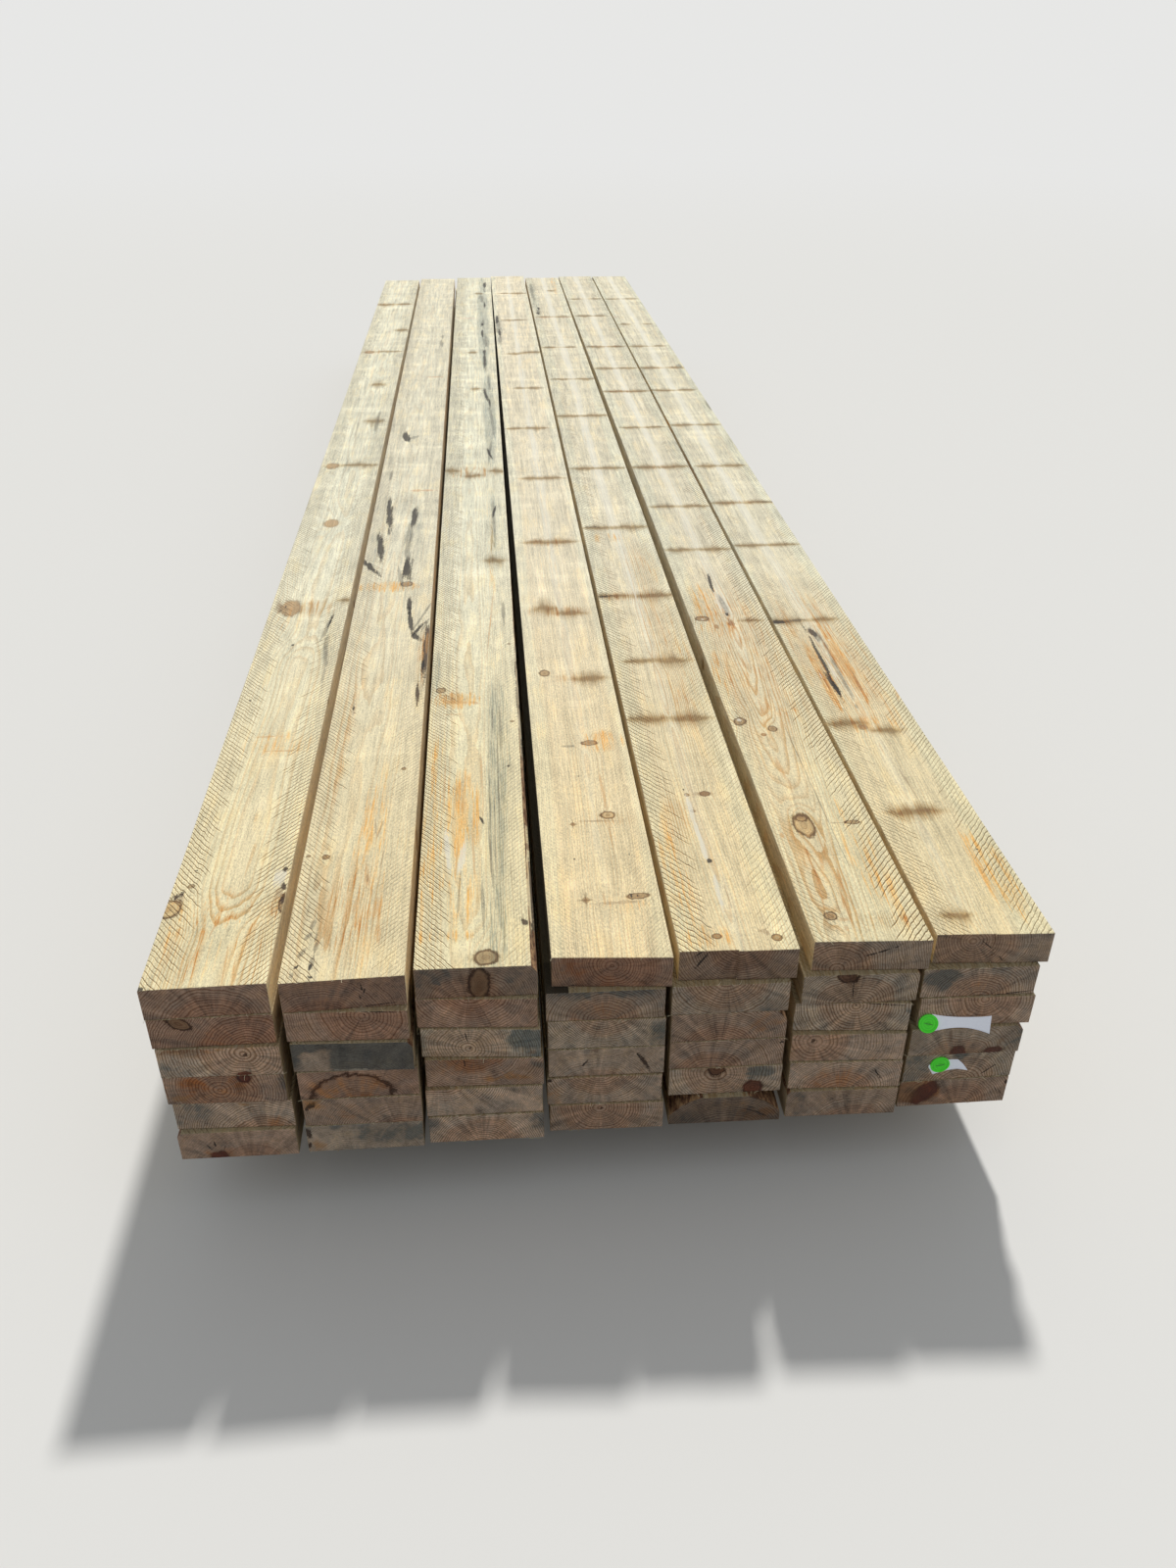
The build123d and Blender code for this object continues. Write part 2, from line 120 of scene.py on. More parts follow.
TOP = {
    1: """
    pith: 0 83 -18, 105 83 -18, 195 83 -5, 880 82 -6, 980 82 -14, 4800 84 -8
    ring: 3.4 0.55; face: 1.01 1.03; end: 0.9 0.8; saw: 1.1 1.2 10.5
    knots: rimmed 4 156 16 20, dead 152 160 9 20, 24 204 4 4, red 38 1110 20 38 8, dull 143 1143 14 10,
        red 70 1587 17 26, 30 2020 15 24, dull 100 2024 40 12, 108 2437 22 22, 92 2865 20 24,
        red 30 3325 16 22, dull 100 3332 40 10, 126 3690 26 18 4, 35 4190 28 18, 108 4200 26 14
    marks: brown 14 176 10 8 -30, 140 180 8 16 -10, 16 1114 7 34 6, black 23 1104 1.4 12 -20,
        28 1120 1.4 9 -8, pale 137 216 10 28 -6, bark 142 236 5.5 6, black 23 240 3 3.5, bark 9 184 6 9 -40,
        145 196 4 9 10, 147 168 3 12, black 145 368 2 3, 3 4 5 5, resin 66 600 26 3.5, 98 553 38 2.2,
        grey 127 915 6 92 3, 118 1010 5 60 -5, black 122 1045 2 30 -4, 64 942 3 4, 20 726 2 2.5,
        grey 118 2420 5 150, resin 96 30 1.4 40 3, 55 60 1.6 60 -3, 70 120 1.4 30 -8
    stains: resin 0.4 90 576 60 44, 0.35 14 130 18 60, blue 0.35 122 950 12 150, 0.3 118 2420 22 220,
        0.3 18 2400 16 260, brown 0.45 86 1108 36 40, 0.35 30 3330 60 50, 0.35 60 4190 80 40,
        resin 0.3 40 1060 46 60, 0.35 70 90 50 80, brown 0.45 140 150 12 40, 0.35 42 70 28 90,
        0.35 118 70 28 90, 0.3 82 160 44 60
    end_stains: brown 0.25 20 40 20 8
    end_marks: brown 128 2 3 4
    """,
    2: """
    pith: 0 40 -34, 2400 70 -26, 4800 76 -40
    ring: 2.9 0.45; face: 1.01 1.0; end: 0.75 0.75; saw: 0.9 0.4 9.5
    knots: dead 31 258 4.5 5, 126 485 3 4, 7 262 2.5 2.5, 96 1216 11 12
    marks: grey 31 112 4.5 12 -18, 27 88 4 9 -30, 36 84 1.4 12 -4, 22 54 4.5 12 -16, black 19 30 2.6 5 -30,
        grey 15 14 3 6, 38 66 3 12 -4, 36 36 3.5 12 -4, black 35 28 1.6 5 -10, 38 9 3 3,
        brown 94 327 1.8 28 6, 101 325 1.8 26 -8, resin 90 213 3.5 28 5, brown 91 205 2 10 5,
        resin 80 148 2.5 20 -6, 107 140 5 26 -2, 112 88 4 22 6, brown 108 250 1.4 22 -4, 100 170 1.4 24 4,
        33 690 4 60 4, black 33 686 2.5 8, grey 43 795 6 1.6 20, black 107 1115 5.5 44 3, 112 1040 4.5 62 5,
        125 962 9 24 24, grey 136 1060 3.5 90 -14, 140 1010 3 50 -12, black 130 1000 4 36 -20,
        bark 146 900 6.5 125, resin 147 935 3 44, black 143 850 3 40, bark 137 735 3 42 1,
        black 37 1640 8 120 3, 29 1440 8 90 6, 14 1320 7 60 24, 97 1610 10 70, grey 91 1450 9 180,
        black 95 1300 10 60, grey 84 1240 5 90 8, black 48 2270 11 50 10, grey 66 2265 12 24 -30,
        25 1930 4 60, resin 110 2955 30 10, 105 1808 34 9, grey 118 3450 9 80, 122 3560 5 40
    stains: blue 0.3 20 180 16 120, 0.4 100 1500 22 240, 0.35 18 1450 16 240, resin 0.45 92 260 28 240,
        0.8 60 1205 66 26, brown 0.5 140 860 10 160, 0.4 70 130 50 110, 0.3 30 560 16 300
    end_marks: black 97 34 1.2 6 8, 100 26 1.3 5 -12, 94 18 1 4 10, 116 4 26 0.9 4
    end_stains: brown 0.3 60 25 60 30
    """,
    3: """
    pith: 0 66 -15, 1800 62 -14, 4800 70 -20; ring: 2.6 0.55; face: 1.0 1.02; end: 0.8 0.9; saw: 2.5 0.35 10
    knots: dead 88 17 14 14, 17 727 7 9, dull 118 1320 20 16, 16 1945 18 14, 72 1900 20 14 8,
        132 1938 18 14 -8, 80 2780 14 14, 70 3290 14 14, 96 4405 16 16, dead 136 610 3 3, 138 905 3 3
    marks: black 84 322 1.8 12 20, grey 85 130 2.6 78 1, 54 150 2 60 -2, 96 240 1.6 110 2,
        black 126 470 2 4, resin 58 355 6 34, 51 250 1.8 60 -2, 73 235 1.8 70 2, 86 420 1.8 90 1,
        30 420 1.6 90, pale 37 245 4 46 3, 58 235 4.5 38 -4, brown 30 705 16 2.5 -35, 42 692 14 2 -30,
        resin 48 682 32 6 -8, 40 640 22 2, 105 1003 1.8 172 -3, grey 131 1040 3 60, 104 620 2 60,
        116 590 2 70, 97 360 1.4 160, 110 420 1.8 150, 103 300 1.2 120, 120 1540 4 190,
        black 122 1640 2.5 40 -6, grey 118 2120 4 150 -3, black 116 2090 3 60 8, grey 126 2420 6 180 2,
        black 122 2600 4 50, grey 122 2860 5 120 1, black 111 3200 6 170, grey 118 3480 12 110,
        black 112 2700 5 90 4, 106 3600 5 70, 118 4150 4 60, grey 107 3780 9 80, black 107 3770 4 30,
        grey 104 4300 12 90, black 122 4600 7 80, grey 118 4480 5 60, pink 44 3884 46 8 1,
        bark 149 700 3 240, 148 150 3.5 130, 138 84 4 8 30
    stains: resin 0.9 54 340 30 110, 0.6 14 320 18 260, 1.1 44 690 36 26, 0.4 110 1400 10 330,
        0.6 40 60 46 12, 0.4 50 150 40 80, blue 1 106 360 14 300, 0.7 122 540 12 220, 0.6 100 110 24 110,
        0.5 8 780 9 110, 0.9 112 630 22 130, 0.5 118 1500 14 300, 1.4 120 2500 16 460, 1.4 110 3900 20 800,
        brown 0.45 64 1930 80 50, 0.4 30 700 26 26
    end_knots: rimmed 79 20 12.5 25
    end_marks: brown 70 4 10 1.2 24, 78 12 5 9
    end_stains: blue 0.6 24 26 34 34, 0.5 126 26 34 30
    """,
    4: """
    pith: 0 75 34, 500 80 38, 2000 74 41, 4800 76 40
    ring: 2.6 0.5; face: 1.03 1.02; side: 0.05; end: 0.8 0.75; saw: 0.25 0.25 8
    knots: star 52 112 4.5 6, 48 290 3.5 5, dead 121 116 13 6 4, rimmed 100 310 10 9, dead 91 520 12 7,
        33 770 8 12, dull 110 745 26 13, 48 1050 18 20, 100 1024 24 13 -4, 50 1412 24 10, 101 1412 30 12,
        57 1862 22 10, 104 1862 30 10, 92 2316 30 12, 30 2316 24 8, 104 2770 24 10, 60 2770 15 8,
        120 3270 40 12 6, 60 3250 24 10, 72 3828 44 10, 108 4395 30 14, 50 4395 18 8
    marks: resin 99 385 2.6 85 0.5, 99 270 1.8 40, brown 84 296 34 3.5 -2, 96 104 36 4 2,
        resin 76 112 1.4 14, black 112 117 1.2 4, 120 117 1.2 4, grey 58 512 12 4, 12 3740 12 190,
        black 10 3850 7 80, 14 3600 6 70, grey 14 3480 8 90, black 44 205 1.6 2, 66 420 1.4 2, 120 210 1.4 2
    stains: resin 0.6 110 524 36 34, 0.4 96 100 40 20, brown 0.4 74 1036 64 26, 0.35 74 1412 64 26,
        blue 0.6 12 3700 16 320, brown 0.3 96 296 44 14, 0.3 90 748 50 20
    end_marks: brown 127 40 15 2 16, black 33 3 12 0.8, brown 110 8 20 2
    end_stains: brown 0.6 24 26 26 26, 0.5 66 8 30 14
    """,
    5: """
    pith: 0 74 58, 300 71 50, 900 74 47, 3000 76 46, 4800 74 47
    ring: 2.7 0.7; face: 1.03 1.05; end: 0.7 0.9; saw: 1.2 0.35 12.5
    knots: dead 51 27 6 4.5, 126 19 6.5 6, 92 358 7 6.5, 64 357 3.5 4, 66 313 3.5 3, dull 36 592 30 11,
        106 589 28 12, 48 807 26 7, 106 807 30 14 -4, 28 1106 34 8 -2, 112 1100 40 12 6, 36 1496 34 10 -2,
        112 1496 36 12 2, 40 1936 30 10, 108 1936 32 10, 34 2439 36 12 -4, 114 2439 34 12 4, 40 2879 30 8,
        118 2879 28 10, 32 3346 26 10, 104 3346 20 8, 40 3886 26 10, 112 3886 30 12, 100 4446 18 12
    marks: pale 62 330 4 40, 64 262 3 26, 66 220 4 28 -2, 69 120 3 44 -2, 75 1150 1.6 280,
        black 70 188 3.5 5 -20, 62 372 2.5 3, brown 92 358 20 8, 80 110 1 40 3, 112 32 12 5 -30,
        black 10 1104 14 3, 22 1106 16 1.6 -2, brown 118 1098 30 3 5, black 20 1502 18 2 -4,
        grey 22 3985 9 75 2, black 18 3960 7 26, 26 4060 5 24, grey 16 4450 9 220, pink 40 3872 36 6 1,
        124 3870 22 6
    stains: resin 0.5 40 28 34 26, 0.45 18 160 18 150, 0.4 52 1430 50 30, brown 0.45 60 1100 70 20,
        0.35 110 1260 36 150, 0.35 112 900 40 420, 0.3 70 590 70 22, blue 0.5 22 4300 20 420,
        resin 0.5 118 4600 12 230, brown 0.3 40 300 20 60
    end_marks: black 29 32 1.6 13 -32, 24 42 1.3 6 -50, brown 64 2 6 3, 98 2 5 2.5
    end_stains: blue 0.3 120 20 24 20
    """,
    6: """
    pith: 0 32 2, 260 42 8, 620 60 30, 1000 76 44, 4800 75 45
    ring: 3 0.6; face: 1.0 1.05; end: 0.95 1; saw: 0.5 1.2 11
    knots: dead 48 277 8 9, rimmed 48 258 14 28, dead 120 261 10.5 4.5, 33 50 8 8, 16 567 9 12 -20,
        65 539 7 9, red 46 521 4 5, dead 22 976 12 11, red 75 949 6 8, 44 938 4 9, dull 116 962 20 7,
        34 1340 28 10, 112 1340 32 10, 40 1623 30 9, 112 1623 30 9, 32 1930 32 12 -2, 110 1930 36 12 3,
        42 2300 26 9, 108 2300 26 9, 36 2707 34 11 -3, 108 2707 34 11 3, 36 3013 30 12 -6, 112 3013 30 10,
        34 3340 30 12, 112 3340 26 10, 40 3890 30 14, 104 3890 22 10, 36 4247 24 10, 120 4247 24 10
    marks: resin 51 405 5 50 2, 48 232 3.5 5, 50 165 4 30 -8, 47 42 9 4, 46 24 3 7, 12 235 3.5 8,
        brown 96 261 16 1.6, grey 86 380 0.9 260, pale 75 1062 12 64, grey 76 1052 6 66 1,
        black 70 1150 3.5 50 -3, 75 1005 3 24, brown 75 960 6 14, pale 22 974 5 4, 16 572 5 4,
        brown 64 1196 2.5 40, grey 18 3884 14 6, brown 48 60 1.2 30, resin 64 120 1 90 4, 33 120 1 90 -4
    stains: resin 0.7 38 1040 34 100, 0.5 98 596 22 20, 0.5 46 930 44 40, 0.5 16 740 10 120,
        0.5 104 300 10 60, 0.5 116 150 28 130, brown 0.4 68 1930 74 20, 0.4 70 2707 74 20,
        0.4 70 3340 74 20, 0.4 108 36 44 12, resin 0.35 66 880 16 60, brown 0.35 80 800 90 360,
        0.4 30 150 16 130, 0.4 62 150 16 130
    end_marks: black 74 26 9 1 20, 88 31 9 1.4 20, 101 36 8 1 20, 84 27 5 0.8 24
    end_stains: brown 0.2 110 20 40 20
    """,
    7: """
    pith: 0 46 36, 280 58 40, 620 70 45, 4800 74 45
    ring: 2.7 0.5; face: 1.02 1.06; end: 0.9 1; saw: 0.85 0.75 10.5
    knots: dull 38 38 18 8, 60 279 34 12, 28 546 32 10, red 56 532 7 8, dull 94 520 22 9, 30 952 34 9 2,
        100 955 20 10, 36 1355 34 8, 110 1355 30 8, 34 1638 34 9, 118 1638 32 9, 40 1928 26 11 -3,
        108 1928 28 11 3, 32 2315 34 9, 112 2315 30 9, 34 2711 34 11 -3, 110 2711 24 11 3, 30 3011 32 12 -5,
        124 3011 28 9, 34 3338 30 12 -5, 112 3338 20 8, 28 3721 20 10, 116 3721 18 8, 34 4238 28 10,
        112 4238 30 10
    marks: resin 87 760 5 120 -1, 40 700 3.5 60 -1, brown 92 700 3 60 -2, 36 690 2 40 2,
        black 51 765 3.6 145 -1.2, grey 71 750 4.5 155 -1.2, bark 63 900 7 17 12, grey 70 882 7 26 -8,
        black 48 690 6 50 -1, grey 66 602 4 14, pale 60 770 2.5 90 -1, 86 862 3 5, 34 720 2 12,
        black 10 950 18 8, grey 44 954 26 6 3, brown 38 276 4 4, 70 282 18 4, pink 8 3862 14 8,
        black 140 1640 22 2.4, grey 140 3040 12 26, 146 2520 4 60, resin 147 640 2.5 28 -12,
        brown 34 40 12 3, 76 350 1.4 60 2, black 118 180 1.3 2
    stains: resin 1.4 87 780 13 150, 1.3 39 730 12 130, 0.6 122 130 24 110, 0.4 60 540 66 30,
        brown 0.45 62 279 46 18, 0.4 74 1638 76 18, 0.35 74 3011 76 20, 0.3 20 550 40 20, 0.35 76 820 90 330
    end_marks: black 66 30 8 0.8 -42, 78 18 9 0.8 -48, 88 7 6 0.7 -55
    end_stains: brown 0.25 118 22 36 26
    """,
}

# The front ends below the top layer, by layer from the bottom up and by column
ENDS = {
    (5, 1): """
    pith: 0 112 -10; end: 0.95 0.75; ring: 3 0.8
    end_knots: rimmed 38 39 15 8 -30
    end_marks: brown 124 44 3 5 -20
    end_stains: blue 0.3 10 38 16 14, brown 0.4 60 12 60 16
    """,
    (5, 2): """
    pith: 0 98 41; end: 1 0.8; ring: 3.1 0.45
    end_marks: pith 98 42 2 2, black 110 46 40 0.8 -3
    """,
    (5, 3): """
    pith: 0 68 66; end: 1.05 0.8; ring: 3 0.8
    """,
    (5, 4): """
    side: 0.08; pith: 0 72 -6; end: 0.95 1; ring: 3.2 0.55
    end_stains: blue 0.9 70 44 90 12, brown 0.5 72 10 46 22, blue 0.4 140 22 16 20
    """,
    (5, 5): """
    pith: 0 70 62; end: 1 1.05; ring: 3.1 0.7
    end_stains: blue 0.6 128 10 26 14, 0.3 10 40 14 8
    """,
    (5, 6): """
    pith: 0 74 -8, 600 60 -35; end: 1 1.1; ring: 2.9 0.7
    end_knots: dead 57 46 12.5 11
    end_marks: brown 60 30 3 6 20, black 66 18 1 12 4
    end_stains: blue 0.7 122 22 8 18, brown 0.4 56 36 16 14
    """,
    (5, 7): """
    pith: 0 78 -8; end: 1.05 1; ring: 2.9 0.6
    end_marks: black 124 3 22 1 6
    end_stains: blue 1 26 30 26 20, 0.7 100 42 18 8, 0.4 140 30 16 20, brown 0.4 80 10 36 18
    """,
    (4, 1): """
    pith: 0 108 35; end: 1.4 1.05; ring: 3.3 0.75
    end_knots: red 102 1 9 6
    end_marks: pith 108 35 3.5 3.5, brown 38 42 24 7 -4, 24 44 26 5 4, resin 77 44 7 3, brown 36 20 20 1 -32
    end_stains: blue 0.6 12 12 24 16, brown 0.6 36 40 40 12, blue 0.35 30 28 24 14
    """,
    (4, 2): """
    pith: 0 62 -64; end: 0.85 1; ring: 2.8 0.35
    end_marks: pale 78 1 26 3
    end_stains: blue 2.6 110 26 56 60, 1.6 30 46 50 9, 1.2 2 26 6 24
    """,
    (4, 3): """
    pith: 0 61 16; end: 1.35 1.15; ring: 2.7 0.55
    end_marks: pith 61 16 3 3, black 57 34 0.9 10 10, brown 140 8 9 3.5 10
    end_stains: blue 1.6 132 30 24 18, 0.9 140 4 20 10, 0.5 8 24 14 22
    """,
    (4, 4): """
    pith: 0 72 74; end: 1.2 1.1; ring: 2.5 0.85
    end_stains: blue 0.9 142 22 14 24
    """,
    (4, 5): """
    pith: 0 68 -20; end: 1 0.9; ring: 2.7 0.8
    end_marks: bark 143 42 5 2.5 -30, grey 86 41 4 2
    end_stains: brown 0.6 122 26 24 18, 0.3 30 8 22 8
    """,
    (4, 6): """
    pith: 0 78 43; end: 1.25 1.1; ring: 3 0.75
    end_marks: pith 78 44 2.5 2.5, black 116 45 30 0.8 -4
    end_stains: blue 0.7 8 12 14 8, 0.5 142 34 12 12
    """,
    (4, 7): """
    pith: 0 82 44; end: 1.1 0.95; ring: 3.1 0.5
    end_marks: brown 120 8 3 8 42, 50 22 1.5 12 -48, 12 36 2 2
    end_stains: brown 0.3 40 16 40 10
    """,
    (3, 1): """
    pith: 0 66 22; end: 1 0.85; ring: 2.8 0.6
    end_knots: red 100 44 8 10
    end_marks: brown 34 36 5 6 -30, 40 26 6 6, 44 16 4 9 20, 92 26 7 8, resin 20 10 14 6, brown 58 8 4 5
    end_stains: resin 0.4 60 24 70 30, brown 0.8 92 30 12 24, 0.5 36 26 20 22, blue 0.8 146 24 9 30
    """,
    (3, 2): """
    pith: 0 78 -40; end: 0.95 0.75; ring: 2.9 0.45
    end_knots: arc 66 4 50 36
    end_marks: brown 82 4 7 5, 66 14 12 2 -30, 100 22 3 12 40
    end_stains: resin 0.6 66 16 60 24, blue 0.4 140 34 16 12, brown 0.4 90 6 22 10
    """,
    (3, 3): """
    pith: 0 62 74; end: 1.05 0.85; ring: 2.7 0.8
    end_marks: black 50 40 0.8 7 4, resin 104 20 30 1.8 32
    end_stains: brown 0.8 48 38 50 16, resin 0.8 104 14 34 9, blue 0.8 140 32 13 12, 0.4 120 8 26 8
    """,
    (3, 4): """
    pith: 0 60 -40; end: 1.1 1; ring: 2.6 0.4
    end_marks: bark 124 20 3.2 17 28, black 116 32 1.2 8 24, 47 22 1.4 7 -34, brown 61 44 7 4,
        grey 118 6 10 1.2 -40
    end_stains: brown 0.5 124 16 12 20, blue 0.25 20 20 20 20
    """,
    (3, 5): """
    pith: 0 52 -16; end: 0.95 0.9; ring: 3 0.6
    end_marks: black 146 40 3 3
    end_stains: brown 0.3 14 10 20 12, 0.3 140 36 10 12
    """,
    (3, 6): """
    pith: 0 28 34; end: 1.15 0.95; ring: 3.4 0.4
    end_marks: pith 28 36 3 3
    end_stains: brown 0.4 112 8 24 12
    """,
    (3, 7): """
    pith: 0 70 -30; end: 0.9 1.05; ring: 2.8 0.5
    end_knots: red 67 3 11 13, 114 4 13 7 8
    end_marks: brown 53 33 3.6 9 6, 122 18 4 10 -26
    end_stains: blue 0.6 138 28 16 26, 0.45 10 24 14 22, brown 0.3 60 20 40 14
    """,
    (2, 1): """
    pith: 0 112 -24; end: 1.35 1; ring: 3 0.85
    end_marks: resin 86 42 8 3 -20
    end_stains: blue 0.6 16 24 40 34, brown 0.8 126 7 12 12
    """,
    (2, 2): """
    pith: 0 122 -34; end: 1 0.9; ring: 2.8 0.6
    end_marks: bark 9 35 11 3.5 46, resin 16 42 12 3 20, black 22 42 9 1.2 46, brown 60 16 16 1.2
    end_stains: brown 0.4 60 18 50 20, resin 0.6 12 38 18 12
    """,
    (2, 3): """
    pith: 0 22 84, 900 70 92; end: 1.4 1; ring: 2.6 0.85
    end_stains: brown 0.25 76 12 10 10
    """,
    (2, 4): """
    pith: 0 68 72; end: 1.15 1; ring: 2.6 0.8
    end_marks: bark 3 44 4 3
    end_stains: brown 0.6 6 16 14 22
    """,
    (2, 5): """
    pith: 0 64 36; end: 1.15 1.05; ring: 2.8 0.6
    end_knots: dead 62 45 10.5 10, red 112 9 13.5 12.5
    end_marks: brown 66 28 1.6 10 -4
    end_stains: blue 1 114 36 27 12, brown 0.4 64 34 12 12
    """,
    (2, 6): """
    pith: 0 70 -14; end: 1.25 0.95; ring: 2.9 0.55
    end_marks: black 117 26 1.2 7 28, 122 18 0.8 5 22
    end_stains: brown 0.5 66 18 52 26
    """,
    (2, 7): """
    pith: 0 78 -12; end: 1.1 1.1; ring: 3 0.8
    end_marks: black 117 14 1.1 15 -48, brown 34 24 1.4 14 36
    end_stains: blue 0.7 14 26 26 30, 1.2 76 40 13 14, 0.5 132 30 12 14
    """,
    (1, 1): """
    pith: 0 90 -25; end: 1 0.85; ring: 2.8 0.25
    end_knots: red 49 1 12.5 12
    end_marks: black 46 22 1 8 6, 38 20 0.9 7 28, 58 20 0.9 6 -24
    end_stains: brown 0.45 48 12 26 22, blue 0.3 6 18 12 18
    """,
    (1, 2): """
    pith: 0 60 -45; end: 1.1 1.05; ring: 2.7 0.3
    end_marks: bark 3 36 4 9 10, 2 12 3 6 -10
    end_stains: blue 0.8 110 28 56 24, 0.6 30 42 50 8, brown 0.5 12 10 14 14
    """,
    (1, 3): """
    pith: 0 72 -16; end: 1.45 1; ring: 2.5 0.75
    end_stains: blue 0.8 5 34 13 18, 0.9 145 34 16 24, 0.3 130 8 20 10
    """,
    (1, 4): """
    pith: 0 68 40; end: 1.1 0.95; ring: 2.6 0.7
    end_marks: pith 68 40 2.6 2.6
    """,
    (1, 5): """
    pith: 0 75 -47; end: 0.5 0.95; ring: 2.9 1.1
    end_marks: black 112 20 14 1.2 -24, 122 14 14 1 -28, 106 28 12 1 -20
    end_stains: blue 0.5 24 12 30 14, brown 0.7 118 14 34 16, resin 0.4 70 36 40 8
    """,
    (1, 6): """
    pith: 0 92 -30; end: 0.95 0.95; ring: 2.7 0.6
    end_stains: blue 0.6 16 26 14 26, brown 0.3 60 30 30 14
    """,
    (1, 7): """
    pith: 0 82 -10; end: 0.95 0.9; ring: 2.7 0.5
    end_knots: red 36 24 13 24 -36
    end_marks: brown 16 16 16 9 20, black 136 22 0.8 6 30, 142 18 0.8 6 30, bark 147 36 2.5 3
    end_stains: brown 2.0 24 28 30 20
    """,
}

# Planks whose corners are cut by the round of the log: (layer, column) to the pith
# across and up, and the log's radius at the front and at the back
LOGS = {
    (1, 1): (90.0, -25.0, 111.0, 128.0),
    (1, 5): (75.0, -47.0, 98.0, 122.0),
    (1, 6): (92.0, -30.0, 116.0, 134.0),
    (2, 3): (70.0, 92.0, 140.0, 113.0),
    (3, 2): (78.0, -40.0, 136.0, 112.0),
    (3, 7): (70.0, -30.0, 105.0, 127.0),
    (4, 2): (62.0, -18.0, 104.0, 120.0),
    (4, 5): (68.0, -20.0, 95.6, 116.0),
    (5, 4): (72.0, 90.0, 138.0, 114.0),
    (5, 6): (60.0, -35.0, 119.5, 138.0),
    (6, 3): (66.0, -15.0, 98.0, 122.0),
}
# The log starts and ends this far outside the plank; without wane it is very wide
LOG_OVERRUN = 60.0
NO_LOG = (WIDTH / 2, 0.0, 900.0, 900.0)

# Front ends where two saw cuts met: (layer, column) to the step and its place across
CUT_STEPS = {(5, 6): (2.0, 68.0), (6, 5): (2.5, 74.0), (6, 7): (1.2, 75.0)}
NO_STEP = (0.0, WIDTH / 2)

# A kind's place in these lists stands for it in the mesh attributes
KNOT_KINDS = ("dull", "red", "dead", "star", "pale", "rimmed", "arc")
# The colour of each kind of mark, and how well it covers the wood
MARK_COLOURS = {
    # Black marks are mostly cracks and holes: their near-black is painted shade in them, over the depth that
    # sink_marks cuts into the top
    "black": (0.035, 0.03, 0.027, 0.90),
    "grey": (0.085, 0.08, 0.07, 0.72),
    "resin": (0.68, 0.36, 0.12, 0.70),
    "brown": (0.24, 0.12, 0.055, 0.60),
    "pale": (0.85, 0.81, 0.68, 0.70),
    "bark": (0.075, 0.045, 0.03, 0.92),
    "pink": (0.72, 0.36, 0.29, 0.38),
    "pith": (0.10, 0.05, 0.03, 0.85),
}
MARK_KINDS = ("none", *MARK_COLOURS)
STAIN_KINDS = ("blue", "resin", "brown")
# How deep a kind of mark is cut into the wood
MARK_DEPTHS = {"black": 1.6, "bark": 2.6, "pith": 0.3}
# Coordinates far outside any knot or mark
FAR = 400.0
NODE = "plank_layer_"
LAYERS = sorted(int(name.removeprefix(NODE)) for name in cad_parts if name.startswith(NODE))


def length_property(name, description, default, low=0.0):
    """A length setting, given in millimetres."""
    return FloatProperty(
        name=name, description=description, default=default * MM, min=low * MM, unit="LENGTH"
    )


def angle_property(name, description, default):
    """An angle setting, given in degrees."""
    return FloatProperty(
        name=name, description=description, default=math.radians(default), subtype="ANGLE"
    )


def strength_property(name, description, default):
    """A setting from 0 up."""
    return FloatProperty(name=name, description=description, default=default, min=0.0)


def colour_property(name, description, default):
    """A colour setting, in linear light."""
    return FloatVectorProperty(
        name=name, description=description, default=default, subtype="COLOR", size=3, min=0.0, max=1.0
    )


class PlankSettings(bpy.types.PropertyGroup):
    arris_wear: length_property("Arris wear", "Radius to which the long edges are worn", 0.9)
    chip_depth: length_property("Chip depth", "How much deeper the largest chips in an edge are", 2.4)
    unevenness: length_property("Unevenness", "How far a sawn face falls short of its plane", 0.5)
    edge_zone: length_property("Edge zone", "Width of the strip of small faces along each edge", 2.6)
    splinter_length: length_property("Splinter length", "Length of the torn fibres at the ends", 7.0)
    splinter_spacing: length_property("Splinter spacing", "Mean distance between torn fibres", 9.0, 0.5)
    seed: IntProperty(name="Seed", description="Start of the random draws", default=7, min=0)


class WoodSettings(bpy.types.PropertyGroup):
    face: colour_property("Sawn face", "Early wood on the long faces", (0.87, 0.83, 0.645))
    end: colour_property("End grain", "Early wood on the sawn ends", (0.49, 0.38, 0.285))
    late: colour_property("Late wood", "Tint of the dark part of a growth ring", (0.78, 0.60, 0.42))
    end_late: colour_property("End late wood", "The same on the sawn ends", (0.52, 0.43, 0.37))
    heart: colour_property("Heartwood", "Tint of the middle of the log", (0.93, 0.77, 0.68))
    knot: colour_property("Knot", "Tint of a sound knot", (0.58, 0.47, 0.36))
    red_knot: colour_property("Red knot", "Further tint of a fresh red knot", (1.0, 0.86, 0.74))
    rim: colour_property("Knot rim", "Tint of the bark round a dead knot", (0.24, 0.17, 0.12))
    saw_line: colour_property("Saw line", "Tint of the dark lines the saw left", (0.36, 0.27, 0.18))
    blue: colour_property("Blue stain", "Tint of the grey-blue stain", (0.62, 0.66, 0.70))
    end_blue: colour_property("End blue stain", "The same on the sawn ends", (0.30, 0.38, 0.45))
    resin: colour_property("Resin", "Tint of the orange resin stain", (0.95, 0.72, 0.44))
    brown: colour_property("Brown stain", "Tint of the brown stain", (0.74, 0.56, 0.40))
    bark: colour_property("Bark", "Bark and bast left on the wane", (0.20, 0.09, 0.045))


